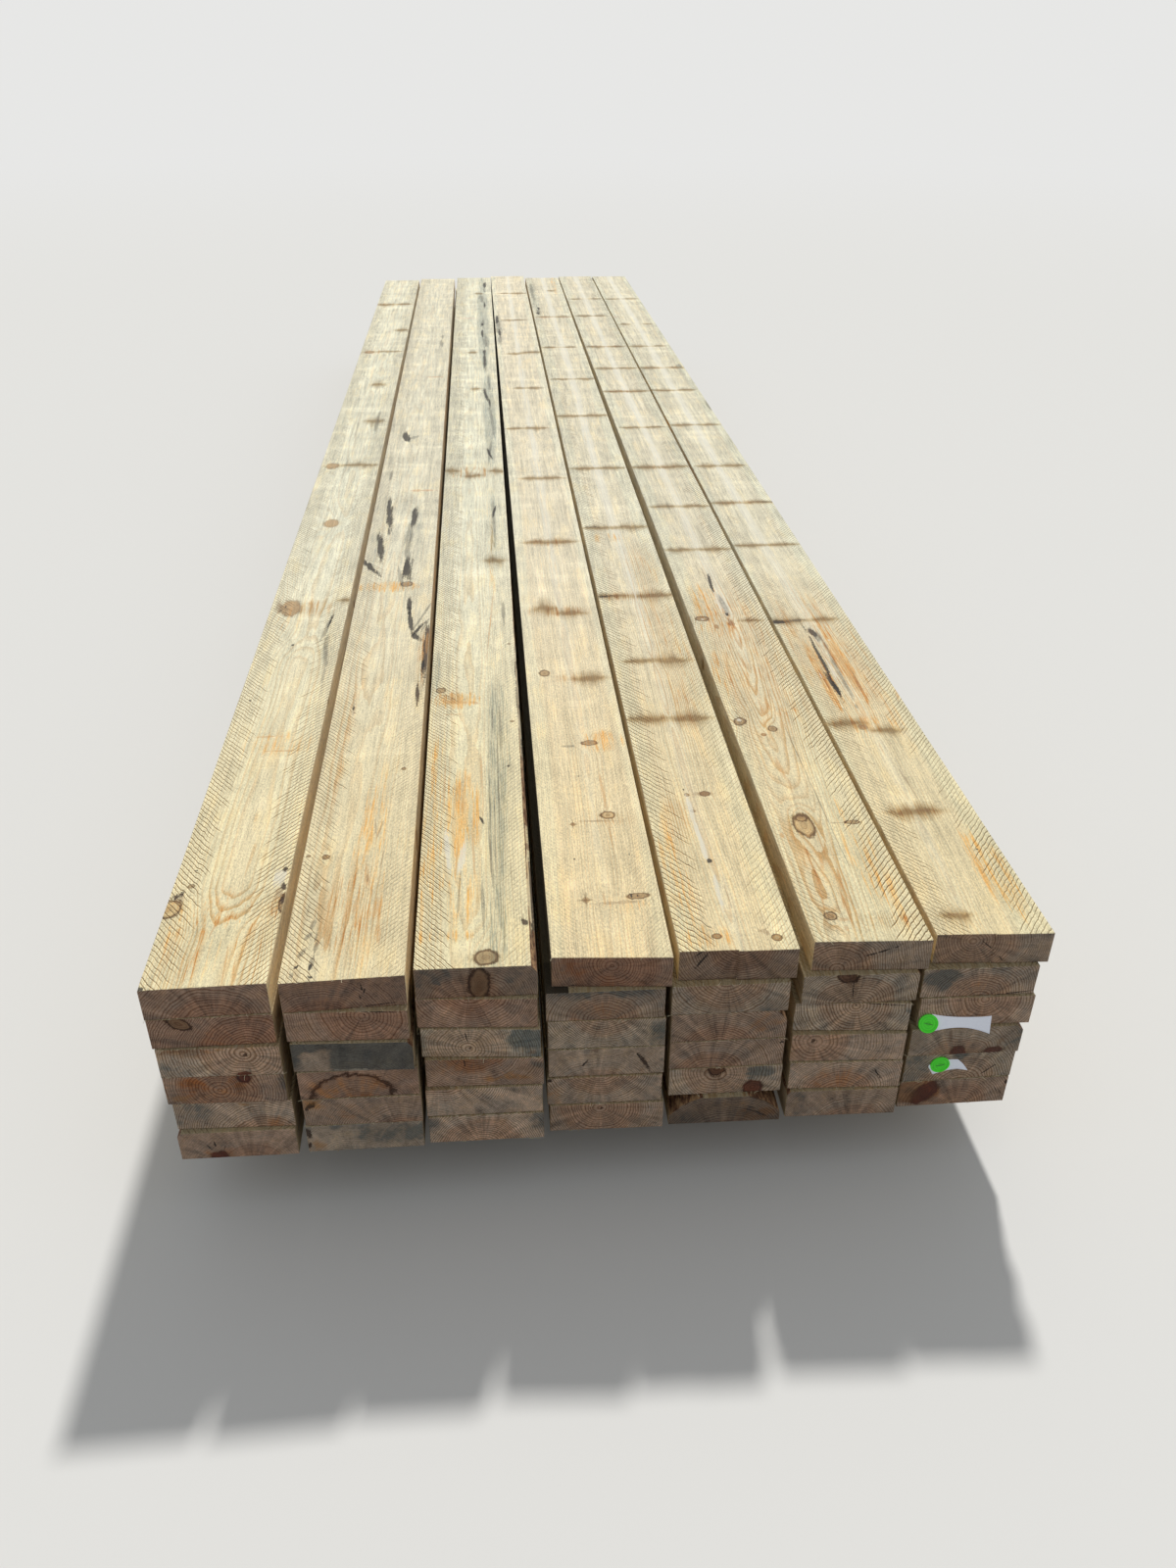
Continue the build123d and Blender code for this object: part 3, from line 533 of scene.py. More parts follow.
class LabelSettings(bpy.types.PropertyGroup):
    plastic: colour_property("Plastic", "Moulded plastic of the buttons", (0.07, 0.72, 0.03))
    paper: colour_property("Paper", "Bare paper of the strips", (0.86, 0.90, 1.0))
    # Painted glow: emission that makes plastic and paper brighter than their colour alone
    glow: strength_property("Glow", "Light that plastic and paper give back besides their colour", 0.14)
    steel: colour_property("Staple", "Wire of the staples", (0.10, 0.11, 0.10))
    curl: length_property("Curl", "How far the free end of a strip stands off the wood", 7.0)
    paper_thickness: length_property("Paper thickness", "Thickness of the paper strips", 0.3)
    wire: length_property("Staple wire", "Diameter of a staple's wire", 0.7)


class StageSettings(bpy.types.PropertyGroup):
    floor: colour_property("Floor", "Pale floor", (0.76, 0.76, 0.75))
    backdrop: colour_property("Backdrop", "Pale backdrop far behind", (0.80, 0.80, 0.79))
    floor_bounce: colour_property("Floor bounce", "Floor as it lights the object", (0.30, 0.30, 0.30))
    sky: colour_property("Soft light", "Light from all round", (0.97, 0.99, 1.0))
    sky_strength: strength_property("Soft light strength", "Strength of the light from all round", 0.42)
    lamp: colour_property("Lamp", "Light of the main lamp", (1.0, 0.975, 0.93))
    lamp_strength: strength_property("Lamp strength", "Main lamp, in watts per square metre", 2.6)
    lamp_height: angle_property("Lamp height", "Angle of the main lamp above the floor", 48.0)
    lamp_side: angle_property("Lamp side", "Angle of the main lamp to the right of straight behind", 14.0)
    lamp_softness: angle_property("Lamp softness", "Angle that the main lamp covers", 4.0)


def both_ways(operation):
    """Two methods that add a Math node: the value before the other number, and after it."""

    def method(self, other):
        return self.graph.maths(operation, self, other)

    def reflected(self, other):
        return self.graph.maths(operation, other, self)

    return method, reflected


class Value:
    """A socket in a node tree. Sums on it add Math nodes."""

    def __init__(self, graph, socket):
        self.graph = graph
        self.socket = socket

    __add__, __radd__ = both_ways("ADD")
    __sub__, __rsub__ = both_ways("SUBTRACT")
    __mul__, __rmul__ = both_ways("MULTIPLY")
    __truediv__, __rtruediv__ = both_ways("DIVIDE")
    __pow__, __rpow__ = both_ways("POWER")
    __gt__, __lt__ = both_ways("GREATER_THAN")[0], both_ways("LESS_THAN")[0]


class Graph:
    """A node tree that is filled from Python, for a material or for Geometry Nodes."""

    def __init__(self, tree):
        self.tree = tree

    @staticmethod
    def find(sockets, key):
        """A socket by its place, its identifier or its name."""
        if isinstance(key, int):
            return sockets[key]
        for socket in sockets:
            if socket.identifier == key:
                return socket
        return sockets[key]

    def node(self, kind, settings=(), inputs=(), output=0):
        """Add a node, set it, fill its inputs and return one of its outputs."""
        made = self.tree.nodes.new(kind)
        for name, value in dict(settings).items():
            if name == "stops":
                self.set_stops(made.color_ramp, value)
            else:
                setattr(made, name, value)
        for key, value in dict(inputs).items():
            socket = self.find(made.inputs, key)
            if isinstance(value, Value):
                self.tree.links.new(value.socket, socket)
            elif socket.type == "RGBA" and len(value) == 3:
                socket.default_value = (*value, 1.0)
            else:
                socket.default_value = value
        if not len(made.outputs):
            return None
        return Value(self, self.find(made.outputs, output))

    @staticmethod
    def set_stops(ramp, stops):
        """Give a colour ramp its stops: (place, colour with alpha)."""
        while len(ramp.elements) < len(stops):
            ramp.elements.new(0.5)
        for element, (place, colour) in zip(ramp.elements, stops):
            element.position = place
            element.color = colour

    def sibling(self, value, output):
        """Another output of the node that a value comes from."""
        return Value(self, self.find(value.socket.node.outputs, output))

    def maths(self, operation, *numbers):
        """A sum on values and plain numbers."""
        return self.node("ShaderNodeMath", {"operation": operation}, dict(enumerate(numbers)))

    def least(self, a, b):
        return self.maths("MINIMUM", a, b)

    def most(self, a, b):
        return self.maths("MAXIMUM", a, b)

    def root(self, a):
        return self.maths("SQRT", a)

    def limit(self, value, low=0.0, high=1.0):
        return self.least(self.most(value, low), high)

    def between(self, value, low, high):
        """1 where a value lies between two numbers, and 0 elsewhere."""
        return (value > low) * (value < high)

    def step(self, value, low, high):
        """A smooth rise from 0 at low to 1 at high."""
        if low < high:
            return self.node(
                "ShaderNodeMapRange",
                {"interpolation_type": "SMOOTHSTEP"},
                {"Value": value, "From Min": low, "From Max": high},
            )
        return 1 - self.step(value, high, low)

    def blend(self, factor, a, b):
        """A number between a and b."""
        return self.node(
            "ShaderNodeMix",
            {"data_type": "FLOAT"},
            {"Factor_Float": factor, "A_Float": a, "B_Float": b},
            "Result_Float",
        )

    def mix(self, factor, a, b, blend_type="MIX"):
        """A colour between a and b."""
        return self.node(
            "ShaderNodeMix",
            {"data_type": "RGBA", "blend_type": blend_type},
            {"Factor_Float": factor, "A_Color": a, "B_Color": b},
            "Result_Color",
        )

    def tint(self, colour, *layers):
        """A colour multiplied by others in turn, each as far as its factor says."""
        for factor, by in layers:
            colour = self.mix(factor, colour, by, "MULTIPLY")
        return colour

    def split(self, vector):
        """The three numbers of a vector."""
        parts = self.node("ShaderNodeSeparateXYZ", inputs={0: vector})
        return parts, self.sibling(parts, 1), self.sibling(parts, 2)

    def join(self, x, y, z):
        """A vector of three numbers."""
        return self.node("ShaderNodeCombineXYZ", inputs={0: x, 1: y, 2: z})

    def noise(self, vector, scale, detail=2.0, roughness=0.5):
        """Noise from about 0.2 to 0.8, with its middle at 0.5, at a vector or at three numbers."""
        if isinstance(vector, tuple):
            vector = self.join(*vector)
        return self.node(
            "ShaderNodeTexNoise",
            inputs={"Vector": vector, "Scale": scale, "Detail": detail, "Roughness": roughness},
        )

    def dice(self, number):
        """A random number from 0 to 1 for each whole number."""
        return self.node("ShaderNodeTexWhiteNoise", {"noise_dimensions": "1D"}, {"W": number})

    def attribute(self, name):
        """The three numbers of a mesh attribute."""
        return self.split(self.node("ShaderNodeAttribute", {"attribute_name": name}, output="Vector"))

    def place(self):
        """The object's own coordinates."""
        return self.node("ShaderNodeTexCoord", output="Object")


def new_material(name):
    """An empty material and its tree, with a Principled shader at the end."""
    material = bpy.data.materials.new(name)
    material.use_nodes = True
    material.node_tree.nodes.clear()
    return material, Graph(material.node_tree)


def finish_material(graph, colour, roughness, height=None, bump=1.0, **fixed):
    """Add the shader and the output. Height is in millimetres."""
    inputs = {"Base Color": colour, "Roughness": roughness, **fixed}
    if height is not None:
        inputs["Normal"] = graph.node(
            "ShaderNodeBump", inputs={"Strength": bump, "Distance": MM, "Height": height}
        )
    shader = graph.node("ShaderNodeBsdfPrincipled", inputs=inputs)
    graph.node("ShaderNodeOutputMaterial", inputs={"Surface": shader})


# Sawn wood reflects less than the shader does by itself
DULL = {"Specular IOR Level": 0.35}


def knot_fields(graph, radius, warp, bend):
    """How the knots turn the rings and tint the wood: sums over the three nearest."""
    sums = {}
    for slot, kind in zip("abc", graph.attribute("knot_kind")):
        x, y, run = graph.attribute("knot_" + slot)
        reach = graph.most(run, 1.0)
        alive = run > 0.5
        u = x / reach
        v = y / reach
        arc = kind > 5.5
        share = graph.root(u * u + v * v) * (1 + warp * (1 - arc * 0.5))
        dull = (kind < 0.5) * alive
        red = graph.between(kind, 0.5, 1.5)
        star = graph.between(kind, 2.5, 3.5)
        pale = graph.between(kind, 3.5, 5.5)
        dead = graph.between(kind, 1.5, 2.5) + (kind > 4.5)
        solid = alive * (kind < 5.5)
        inside = graph.step(share, 1.05, 0.88) * solid * (1 - dull)
        edge = graph.maths("EXPONENT", -1.0 * ((share - 1.0) / (0.15 - arc * 0.08)) ** 2.0)
        angle = graph.maths("ARCTAN2", y, x)
        spokes = graph.maths("ABSOLUTE", graph.maths("SINE", angle * 2.0))
        narrow = graph.step(spokes, 0.55, 0.10) * graph.step(share, 2.8, 0.6)
        flat = graph.maths("ABSOLUTE", v + bend)
        shares = {
            "core": inside * (1 - pale * 0.6),
            "red": inside * red,
            "pale": inside * pale,
            "rim": edge * alive * (1 - dull) * (dead * 0.8 + 0.35),
            "halo": graph.maths("EXPONENT", u * u * -0.25 - v * v * 0.9) * solid * (1 - inside),
            "crack": narrow * star * alive,
            "heart": graph.step(share, 0.7, 0.1) * solid * (dead * 0.6 + star),
            "smudge": dull * graph.step(flat * 0.30 + u * u * 0.4 + warp * 1.3, 1.0, 0.25),
            "line": dull * graph.step(flat * 0.8 + u * u * 0.7 + warp * 2.2, 1.0, 0.35),
            "turn": graph.maths("EXPONENT", (u * u + v * v * 0.14) / -2.2) * solid
            * graph.least(reach * 0.30, 11.0) * (1 - dull * 0.7),
            "inner": inside * share * reach * 0.5,
            "whole": inside,
        }
        for name, value in shares.items():
            sums[name] = sums.get(name, 0.0) + value
    whole = graph.limit(sums["whole"])
    rings = (radius + sums["turn"]) * (1 - whole) + sums["inner"]
    return rings, {name: graph.limit(value) for name, value in sums.items()}


def saw_marks(graph, length, side, saw, seed, swing):
    """Dark lines and bright ridges that the saw left, slanting in from both edges."""
    saw_left, saw_right, spacing = saw
    dark = 0.0
    light = 0.0
    presence = graph.noise((length * 0.0045, seed * 60, 0.0), 1.0, 1.0)
    for edge, strength, turn in ((side, saw_left, 3.0), (WIDTH - side, saw_right, 47.0)):
        count = (length + edge * 1.3 + swing * 9.0) / spacing + turn
        mood = graph.dice(graph.maths("FLOOR", count) + seed * 31.0)
        phase = graph.maths("FRACT", count) + (mood - 0.5) * 0.22
        fade = graph.step(edge - mood * 22.0, 32.0, 16.0) * (mood * 0.3 + 0.7) * strength
        fade = fade * (graph.step(presence, 0.36, 0.56) * 0.6 + 0.8)
        dark = dark + fade * graph.step(phase, 0.38, 0.48) * graph.step(phase, 0.66, 0.56)
        light = light + fade * graph.step(phase, 0.04, 0.28) * graph.step(phase, 0.48, 0.36)
    return dark, light


def wood_material(wood):
    """Rough sawn softwood, read from the attributes that each plank carries."""
    material, graph = new_material("rough_sawn_wood")
    across, along, up = graph.attribute("grain")
    side, length, height = graph.attribute("place")
    bright, redness, spacing = graph.attribute("tone")
    contrast, seed, heart_radius = graph.attribute("ring")
    is_end, is_wide, is_wane = graph.attribute("face")
    blue_patch, resin_patch, brown_patch = graph.attribute("stain")
    is_long = 1 - is_end

    # Noises along the grain, from broad to fine
    broad = graph.noise((across + seed * 40, along * 0.10, up), 0.022, 2.0)
    ripple = graph.noise((across, along * 0.12 + seed * 90, up), 0.11, 2.0)
    stripe = graph.noise((across, along * 0.03 + seed * 70, up), 0.17, 3.0, 0.6)
    streak = graph.noise((across, along * 0.035 + seed * 50, up), 0.6, 3.0, 0.65)
    fuzz = graph.noise((across, along * 0.5, up), 0.42, 4.0, 0.8)
    grit = graph.noise((across, along * 0.4, up), 1.5, 2.0, 0.7)
    patchy = graph.noise((across + seed * 70, along * 0.25, up), 0.035, 3.0, 0.6)
    mottle = graph.noise((across + seed * 20, along * 0.07, up), 0.08, 3.0, 0.65)
    band = graph.noise((side * 0.006, length * 0.020, seed * 80), 1.0, 2.0, 0.6)
    # Painted sheen: far rises toward the back, where the long faces are made less yellow, a little darker
    # and more mottled, with fainter rings
    far = graph.step(length, 500.0, 2200.0)

    # Growth rings round the pith, wide in the middle of the log, turned by the knots
    radius = graph.root(across * across + up * up)
    rays = graph.noise((across / radius * 7.0, up / radius * 7.0, seed * 50), 1.0, 3.0, 0.6)
    rings, knots = knot_fields(
        graph,
        radius + (broad - 0.5) * 14.0 + (ripple - 0.5) * 2.2,
        (ripple - 0.5) * 0.7 + (fuzz - 0.5) * 0.5,
        (patchy - 0.5) * 3.0,
    )
    uneven = graph.noise((rings + seed * 500, 0.0, 0.0), 0.06, 2.0)
    count = rings * (rings * 0.0045 + 1.0) / (spacing * 1.75) + uneven * 2.2
    part = graph.maths("FRACT", count)
    ring_mood = graph.dice(graph.maths("FLOOR", count) + seed * 31.0)
    late = graph.step(part, 0.40, 0.92) * graph.step(part, 1.0, 0.95)
    late = late * (ring_mood * 0.6 + 0.6) * contrast * (streak * 0.7 + 0.65)
    late = late * (1 - far * is_long * 0.5) * (brown_patch * is_long * 3.2 + 0.9)
    late = graph.limit(late * (is_end * 1.5 + 0.9) + knots["core"] * late * 0.6)

    # Colour of plain wood: pinker in the heart, paler or darker in streaks and rays, with painted sheen
    # toward the back
    heart = graph.step(radius + (broad - 0.5) * 24.0 + (rays - 0.5) * 12.0 - heart_radius, 6.0, -6.0)
    colour = graph.tint(
        graph.mix(is_end, wood.face, wood.end),
        (heart * (is_end * 0.45 + 0.3), wood.heart),
        (late, graph.mix(is_end, wood.late, wood.end_late)),
    )
    grain = (stripe - 0.5) * 0.5 + (streak - 0.5) * 0.7 + (fuzz - 0.5) * 1.5 + (patchy - 0.5) * 0.4
    blotches = (mottle - 0.5) * 1.1 + (band - 0.5) * 0.6 + (stripe - 0.5) * 0.5
    blotches = blotches + graph.step(band, 0.62, 0.66) * 0.10
    level = grain + blotches * (far * 0.25 + 0.35) * (1 - is_end * 0.6) - far * is_long * 0.07
    blotch = graph.noise((side, height, seed * 800.0), 0.045, 3.0, 0.65)
    level = level + ((rays - 0.5) * 1.4 + (blotch - 0.5) * 1.3) * is_end + (grit - 0.5) * 0.30
    dark_saw, light_saw = saw_marks(graph, length, side, graph.attribute("saw"), seed, ripple - 0.5)
    on_saw = is_wide * (1 - is_wane)
    level = bright * (level + 1.0 + light_saw * on_saw * 0.22)
    shade = graph.join(level, level * (redness * 0.65 + 0.35), level * (redness * 0.85 + 0.15))
    yellow = graph.step(patchy + (stripe - 0.5) * 0.5, 0.50, 0.70)
    cool = graph.step(patchy + (rays - 0.5) * 0.4, 0.48, 0.36) * is_end
    whitish = graph.step(radius + (broad - 0.5) * 10.0 + (stripe - 0.5) * 30.0, 14.0, 5.0) * is_wide
    colour = graph.tint(
        colour,
        (1.0, shade),
        (yellow * 0.6, (1.0, 0.94, 0.82)),
        (cool * 0.7, (0.84, 0.92, 1.0)),
        # Painted sheen: the front of the long faces is made yellower than the back
        (graph.step(length, 1600.0, 100.0) * is_long, (1.0, 0.92, 0.76)),
    )
    # The pale stripe along the pith is the wood's own; its growth toward the back is painted sheen
    colour = graph.mix(whitish * (far * 0.42 + 0.12), colour, (0.93, 0.91, 0.80))
    colour = graph.tint(colour, (graph.limit(dark_saw * on_saw), wood.saw_line))

    # Stains: torn along the grain on a face, held to the sapwood and torn by rays on an end
    face_tear = (stripe - 0.5) * 3.4 + (streak - 0.5) * 1.8 + (fuzz - 0.5) * 0.5
    end_tear = (rays - 0.5) * 1.6 + (blotch - 0.5) * 2.6 + (fuzz - 0.5) * 0.6
    tear = graph.blend(is_end, face_tear, end_tear)
    sap = graph.limit((1 - heart) * 0.75 + 0.25 + is_long)
    for patch, on_face, on_end in (
        (brown_patch, wood.brown, wood.brown),
        (resin_patch, wood.resin, wood.resin),
        (blue_patch * sap, wood.blue, wood.end_blue),
    ):
        reach = graph.step(patch + tear * graph.limit(patch * 2.0), 0.22, 1.05)
        lines = reach * is_long * graph.step(streak + (stripe - 0.5) * 0.6, 0.50, 0.62)
        colour = graph.tint(
            colour,
            (reach * (is_end * 0.35 + 0.6), graph.mix(is_end, on_face, on_end)),
            (lines, on_face),
        )

    # Knots
    halo = graph.step(knots["halo"] + (fuzz - 0.5) * 0.6 + (stripe - 0.5) * 0.5, 0.35, 1.0)
    sound = (knots["whole"] - knots["pale"]) * is_end
    colour = graph.tint(
        colour,
        (halo * 0.65, (0.84, 0.74, 0.56)),
        (knots["smudge"] * (fuzz * 1.4 + 0.05), (0.60, 0.53, 0.44)),
        (knots["line"] * (streak * 1.2 + 0.1), (0.56, 0.49, 0.41)),
        (knots["core"] * (fuzz * 0.6 + 0.6), wood.knot),
        (knots["red"] * 0.7, wood.red_knot),
        (knots["pale"] * 0.5, (1.0, 0.86, 0.62)),
        (graph.limit(sound * (streak * 0.5 + 0.55)), (0.50, 0.36, 0.33)),
        (knots["red"] * is_end * 0.8, (0.74, 0.46, 0.46)),
    )
    colour = graph.tint(
        graph.mix(knots["pale"] * is_end * 0.6, colour, (0.21, 0.125, 0.065)),
        (knots["heart"] * 0.8, (0.52, 0.44, 0.38)),
        (graph.limit(knots["rim"] * (streak * 0.9 + 0.5)), wood.rim),
        (knots["rim"] * is_end * 0.7, (0.5, 0.45, 0.42)),
        (knots["crack"] * 0.8, (0.30, 0.22, 0.17)),
    )

    # Marks listed in the tables: the colour and how well each covers come from its kind
    stops = [(0.0, (0.0, 0.0, 0.0, 0.0))]
    for code, kind in enumerate(MARK_KINDS[1:], 1):
        stops.append(((code - 0.5) / 10.0, MARK_COLOURS[kind]))
    broken = graph.step(fuzz * 0.65 + streak * 0.35, 0.56, 0.44)
    uneven_edge = (streak - 0.5) * 1.2 + (fuzz - 0.5) * 1.8
    uneven_edge = uneven_edge + (ripple - 0.5) * 1.8 + (stripe - 0.5) * 0.8
    pit = 0.0
    for slot in "ab":
        x, y, code = graph.attribute("mark_" + slot)
        ragged = graph.root(x * x + y * y) + uneven_edge
        chosen = graph.node("ShaderNodeValToRGB", {"stops": stops}, {"Fac": code / 10.0})
        chosen.socket.node.color_ramp.interpolation = "CONSTANT"
        soft = graph.between(code, 1.5, 4.5)
        mask = graph.step(ragged, 1.05, 0.6) * graph.sibling(chosen, "Alpha") * (1 - soft * broken * 0.65)
        colour = graph.mix(mask, colour, graph.tint(chosen, (is_end * 0.9, (0.55, 0.50, 0.46))))
        deep = graph.between(code, 0.5, 1.5) + graph.between(code, 5.5, 6.5)
        pit = pit + mask * deep

    # Bark and bast on the wane
    flakes = graph.noise((across, along * 0.3, up), 0.20, 5.0, 0.75)
    bark = graph.mix(graph.step(flakes, 0.44, 0.62), wood.bark, (0.55, 0.34, 0.17))
    bark = graph.tint(bark, (graph.step(flakes, 0.48, 0.36) * 0.8, (0.30, 0.26, 0.24)))
    colour = graph.mix(is_wane, colour, bark)

    rough = (fuzz - 0.5) * 0.15 + 0.80 - knots["core"] * 0.14
    relief = (grit - 0.5) * 0.9 + (fuzz - 0.5) * (is_wide * 0.9 + 0.5) - late * 0.12
    relief = relief + (light_saw * 0.45 - dark_saw * 0.9) * on_saw + knots["core"] * 0.12
    relief = relief - pit * 1.3 - knots["rim"] * 0.35 + is_wane * (flakes - 0.5) * 6.0
    finish_material(graph, colour, rough, relief, 0.9, **DULL)
    return material


def edge_run(graph, share, count, near, far, length):
    """Distance along an edge for a share of its points, close together at both ends."""
    index = share * (count - 1)
    pitch = (length - near - far) / (count - 5)
    start = near * (graph.limit(index) * 0.4 + graph.limit(index - 1) * 0.6)
    middle = pitch * graph.least(graph.most(index - 2, 0.0), count - 5)
    past = index - (count - 3)
    return start + middle + far * (graph.limit(past) * 0.6 + graph.limit(past - 1) * 0.4)


def round_pair(graph, a, b, wear):
    """How far two distances from an edge's faces move in to round the edge."""
    reach_a = graph.most(wear - a, 0.0)
    reach_b = graph.most(wear - b, 0.0)
    span = graph.root(reach_a * reach_a + reach_b * reach_b)
    pull = 1 - graph.least(wear / graph.most(span, 1e-7), 1.0)
    return reach_a * pull, reach_b * pull


def add_inputs(graph, **names_by_kind):
    """Give a Geometry Nodes tree named inputs and one output, and return the inputs as values."""
    names = []
    for kind, listed in names_by_kind.items():
        for name in listed:
            graph.tree.interface.new_socket(name, in_out="INPUT", socket_type="NodeSocket" + kind)
            names.append(name)
    graph.tree.interface.new_socket("Geometry", in_out="OUTPUT", socket_type="NodeSocketGeometry")
    source = graph.node("NodeGroupInput")
    return {name: graph.sibling(source, name) for name in names}


def close_tree(graph, geometry, material):
    """Realize the instances, set the material and end the tree."""
    real = graph.node("GeometryNodeRealizeInstances", inputs={0: geometry})
    done = graph.node("GeometryNodeSetMaterial", inputs={"Geometry": real, "Material": material})
    graph.node("NodeGroupOutput", inputs={0: done})


# Inputs of the planks' tree, in the order of the numbers in point_counts, LOGS and CUT_STEPS
POINT_INPUTS = ("Points Across", "Points Along", "Points Up")
LOG_INPUTS = ("Pith Across", "Pith Up", "Log Radius Front", "Log Radius Back")
STEP_INPUTS = ("Cut Step", "Cut Step Place")
CORNER_INPUTS = ("Front Left", "Front Right", "Back Right", "Back Left")
WEAR_INPUTS = ("Arris Wear", "Chip Depth", "Unevenness", "Edge Zone")


def plank_tree():
    """Geometry Nodes for one sawn plank between four corners, with wane and worn edges."""
    graph = Graph(bpy.data.node_groups.new("Sawn plank", "GeometryNodeTree"))
    lengths = (*LOG_INPUTS, "Log Overrun", *STEP_INPUTS, *WEAR_INPUTS)
    given = add_inputs(
        graph,
        Vector=CORNER_INPUTS,
        Int=POINT_INPUTS,
        Float=("Thickness", *lengths, "Seed"),
        Material=("Material",),
    )
    thickness = given["Thickness"]
    counts = {f"Vertices {axis}": given[name] for axis, name in zip("XYZ", POINT_INPUTS)}
    cube = graph.node("GeometryNodeMeshCube", inputs=counts)
    position = graph.node("GeometryNodeInputPosition")
    share_x, share_y, share_z = [part + 0.5 for part in graph.split(position)]
    left_x, left_y, floor = graph.split(given["Front Left"])
    right_x, right_y, _ = graph.split(given["Front Right"])
    _, back_right_y, _ = graph.split(given["Back Right"])
    back_left_x, back_left_y, _ = graph.split(given["Back Left"])
    width = right_x - left_x
    length = back_left_y - left_y
    zone = given["Edge Zone"]

    run = edge_run(graph, share_y, given["Points Along"], zone, zone, length)

    # The log's radius here, and how much of each corner its round takes off
    log_share = (run + given["Log Overrun"]) / (length + given["Log Overrun"] * 2)
    log_radius = graph.blend(log_share, given["Log Radius Front"], given["Log Radius Back"])
    pith_x = given["Pith Across"]
    pith_z = given["Pith Up"]

    def chord(offset):
        """Half the log's width at a distance from its pith."""
        return graph.root(graph.most(log_radius * log_radius - offset * offset, 0.0))

    def taken(distance, most):
        """The strip of points that an edge takes up: its wane, or the zone of small faces."""
        return graph.least(graph.most(distance, zone), most)

    narrow = graph.least(chord(thickness - pith_z), chord(pith_z))
    take_left = taken(pith_x - narrow, width * 0.3)
    take_right = taken(width - pith_x - narrow, width * 0.3)
    low = graph.least(chord(pith_x), chord(width - pith_x))
    take_top = taken(thickness - pith_z - low, thickness * 0.6)
    take_bottom = taken(pith_z - low, thickness * 0.6)

    local_x = edge_run(graph, share_x, given["Points Across"], take_left, take_right, width)
    local_z = edge_run(graph, share_z, given["Points Up"], take_bottom, take_top, thickness)

    # Two columns of points come together where the end steps
    tiny = 0.0000001
    beside = 0.15 * MM
    pitch = (width - take_left - take_right) / (given["Points Across"] - 5)
    from_step = local_x - given["Cut Step Place"]
    has_step = given["Cut Step"] > 0.01 * MM
    just_left = (from_step > -1.0 * pitch) * (from_step < tiny) * has_step
    just_right = (from_step > tiny) * (from_step < pitch) * has_step
    local_x = local_x + just_left * (-beside - from_step) + just_right * (beside - from_step)

    # Edges worn round, with chips, and faces a little uneven
    there = graph.join(local_x, run, local_z + given["Seed"] * 3.0)
    chips = graph.step(graph.noise(there, 26.0, 3.0, 0.65), 0.60, 0.80)
    flutter = graph.noise(there, 90.0, 1.0)
    wear = given["Arris Wear"] * (0.45 + flutter * 1.1) + given["Chip Depth"] * chips
    in_x = graph.least(local_x, width - local_x)
    in_y = graph.least(run, length - run)
    in_z = graph.least(local_z, thickness - local_z)
    x_for_z, z_for_x = round_pair(graph, in_x, in_z, wear)
    x_for_y, y_for_x = round_pair(graph, in_x, in_y, wear)
    y_for_z, z_for_y = round_pair(graph, in_y, in_z, wear)
    bumps = graph.noise(there, 5.0, 2.0)
    shrink = given["Unevenness"] * bumps
    shares = (share_x, share_y, share_z)
    sides = [(share < 0.0001) - (share > 0.9999) for share in shares]
    turns = [1 - (share > 0.5) * 2 for share in shares]
    local_x = local_x + turns[0] * graph.most(x_for_z, x_for_y) + sides[0] * shrink
    local_y = run + turns[1] * graph.most(y_for_x, y_for_z) + sides[1] * shrink
    local_z = local_z + turns[2] * graph.most(z_for_x, z_for_y) + sides[2] * shrink

    # Points outside the log are pulled in to its ragged round
    tear_depth = 2.2 * MM
    out_x = local_x - pith_x
    out_z = local_z - pith_z
    out = graph.root(out_x * out_x + out_z * out_z)
    ragged = graph.noise((local_x, run * 0.35, local_z), 60.0, 3.0, 0.7)
    log_edge = log_radius - tear_depth * graph.most(ragged - 0.35, 0.0)
    pull = graph.least(log_edge / graph.most(out, 1e-6), 1.0)
    local_x = pith_x + out_x * pull
    local_z = pith_z + out_z * pull

    # From the plank's own distances to its place in the stack
    part_across = local_x / width
    part_along = local_y / length
    place_x = graph.blend(part_along, left_x, back_left_x) + local_x
    front_y = graph.blend(part_across, left_y, right_y)
    back_y = graph.blend(part_across, back_left_y, back_right_y)
    place_y = graph.blend(part_along, front_y, back_y)
    step_reach = 20.0 * MM
    half_step = given["Cut Step"] * 0.5
    step_left = half_step * local_x / graph.most(given["Cut Step Place"], 1.0 * MM)
    step_right = half_step * (width - local_x) / (width - given["Cut Step Place"])
    is_right = local_x > given["Cut Step Place"]
    step = step_left * (1 - is_right) - step_right * is_right
    place_y = place_y + step * graph.limit(1 - local_y / step_reach)
    place = graph.join(place_x, place_y, floor + local_z)
    moved = graph.node("GeometryNodeSetPosition", inputs={"Geometry": cube, "Position": place})
    smooth = graph.node("GeometryNodeSetShadeSmooth", inputs={0: moved})
    close_tree(graph, smooth, given["Material"])
    return graph.tree


def add_object(name, data):
    """A new object in the scene."""
    made = bpy.data.objects.new(name, data)
    bpy.context.scene.collection.objects.link(made)
    return made


def plain_mesh(holder):
    """What an object's modifiers or curve come to, as a mesh of its own."""
    bpy.context.view_layer.update()
    depsgraph = bpy.context.evaluated_depsgraph_get()
    return bpy.data.meshes.new_from_object(holder.evaluated_get(depsgraph))


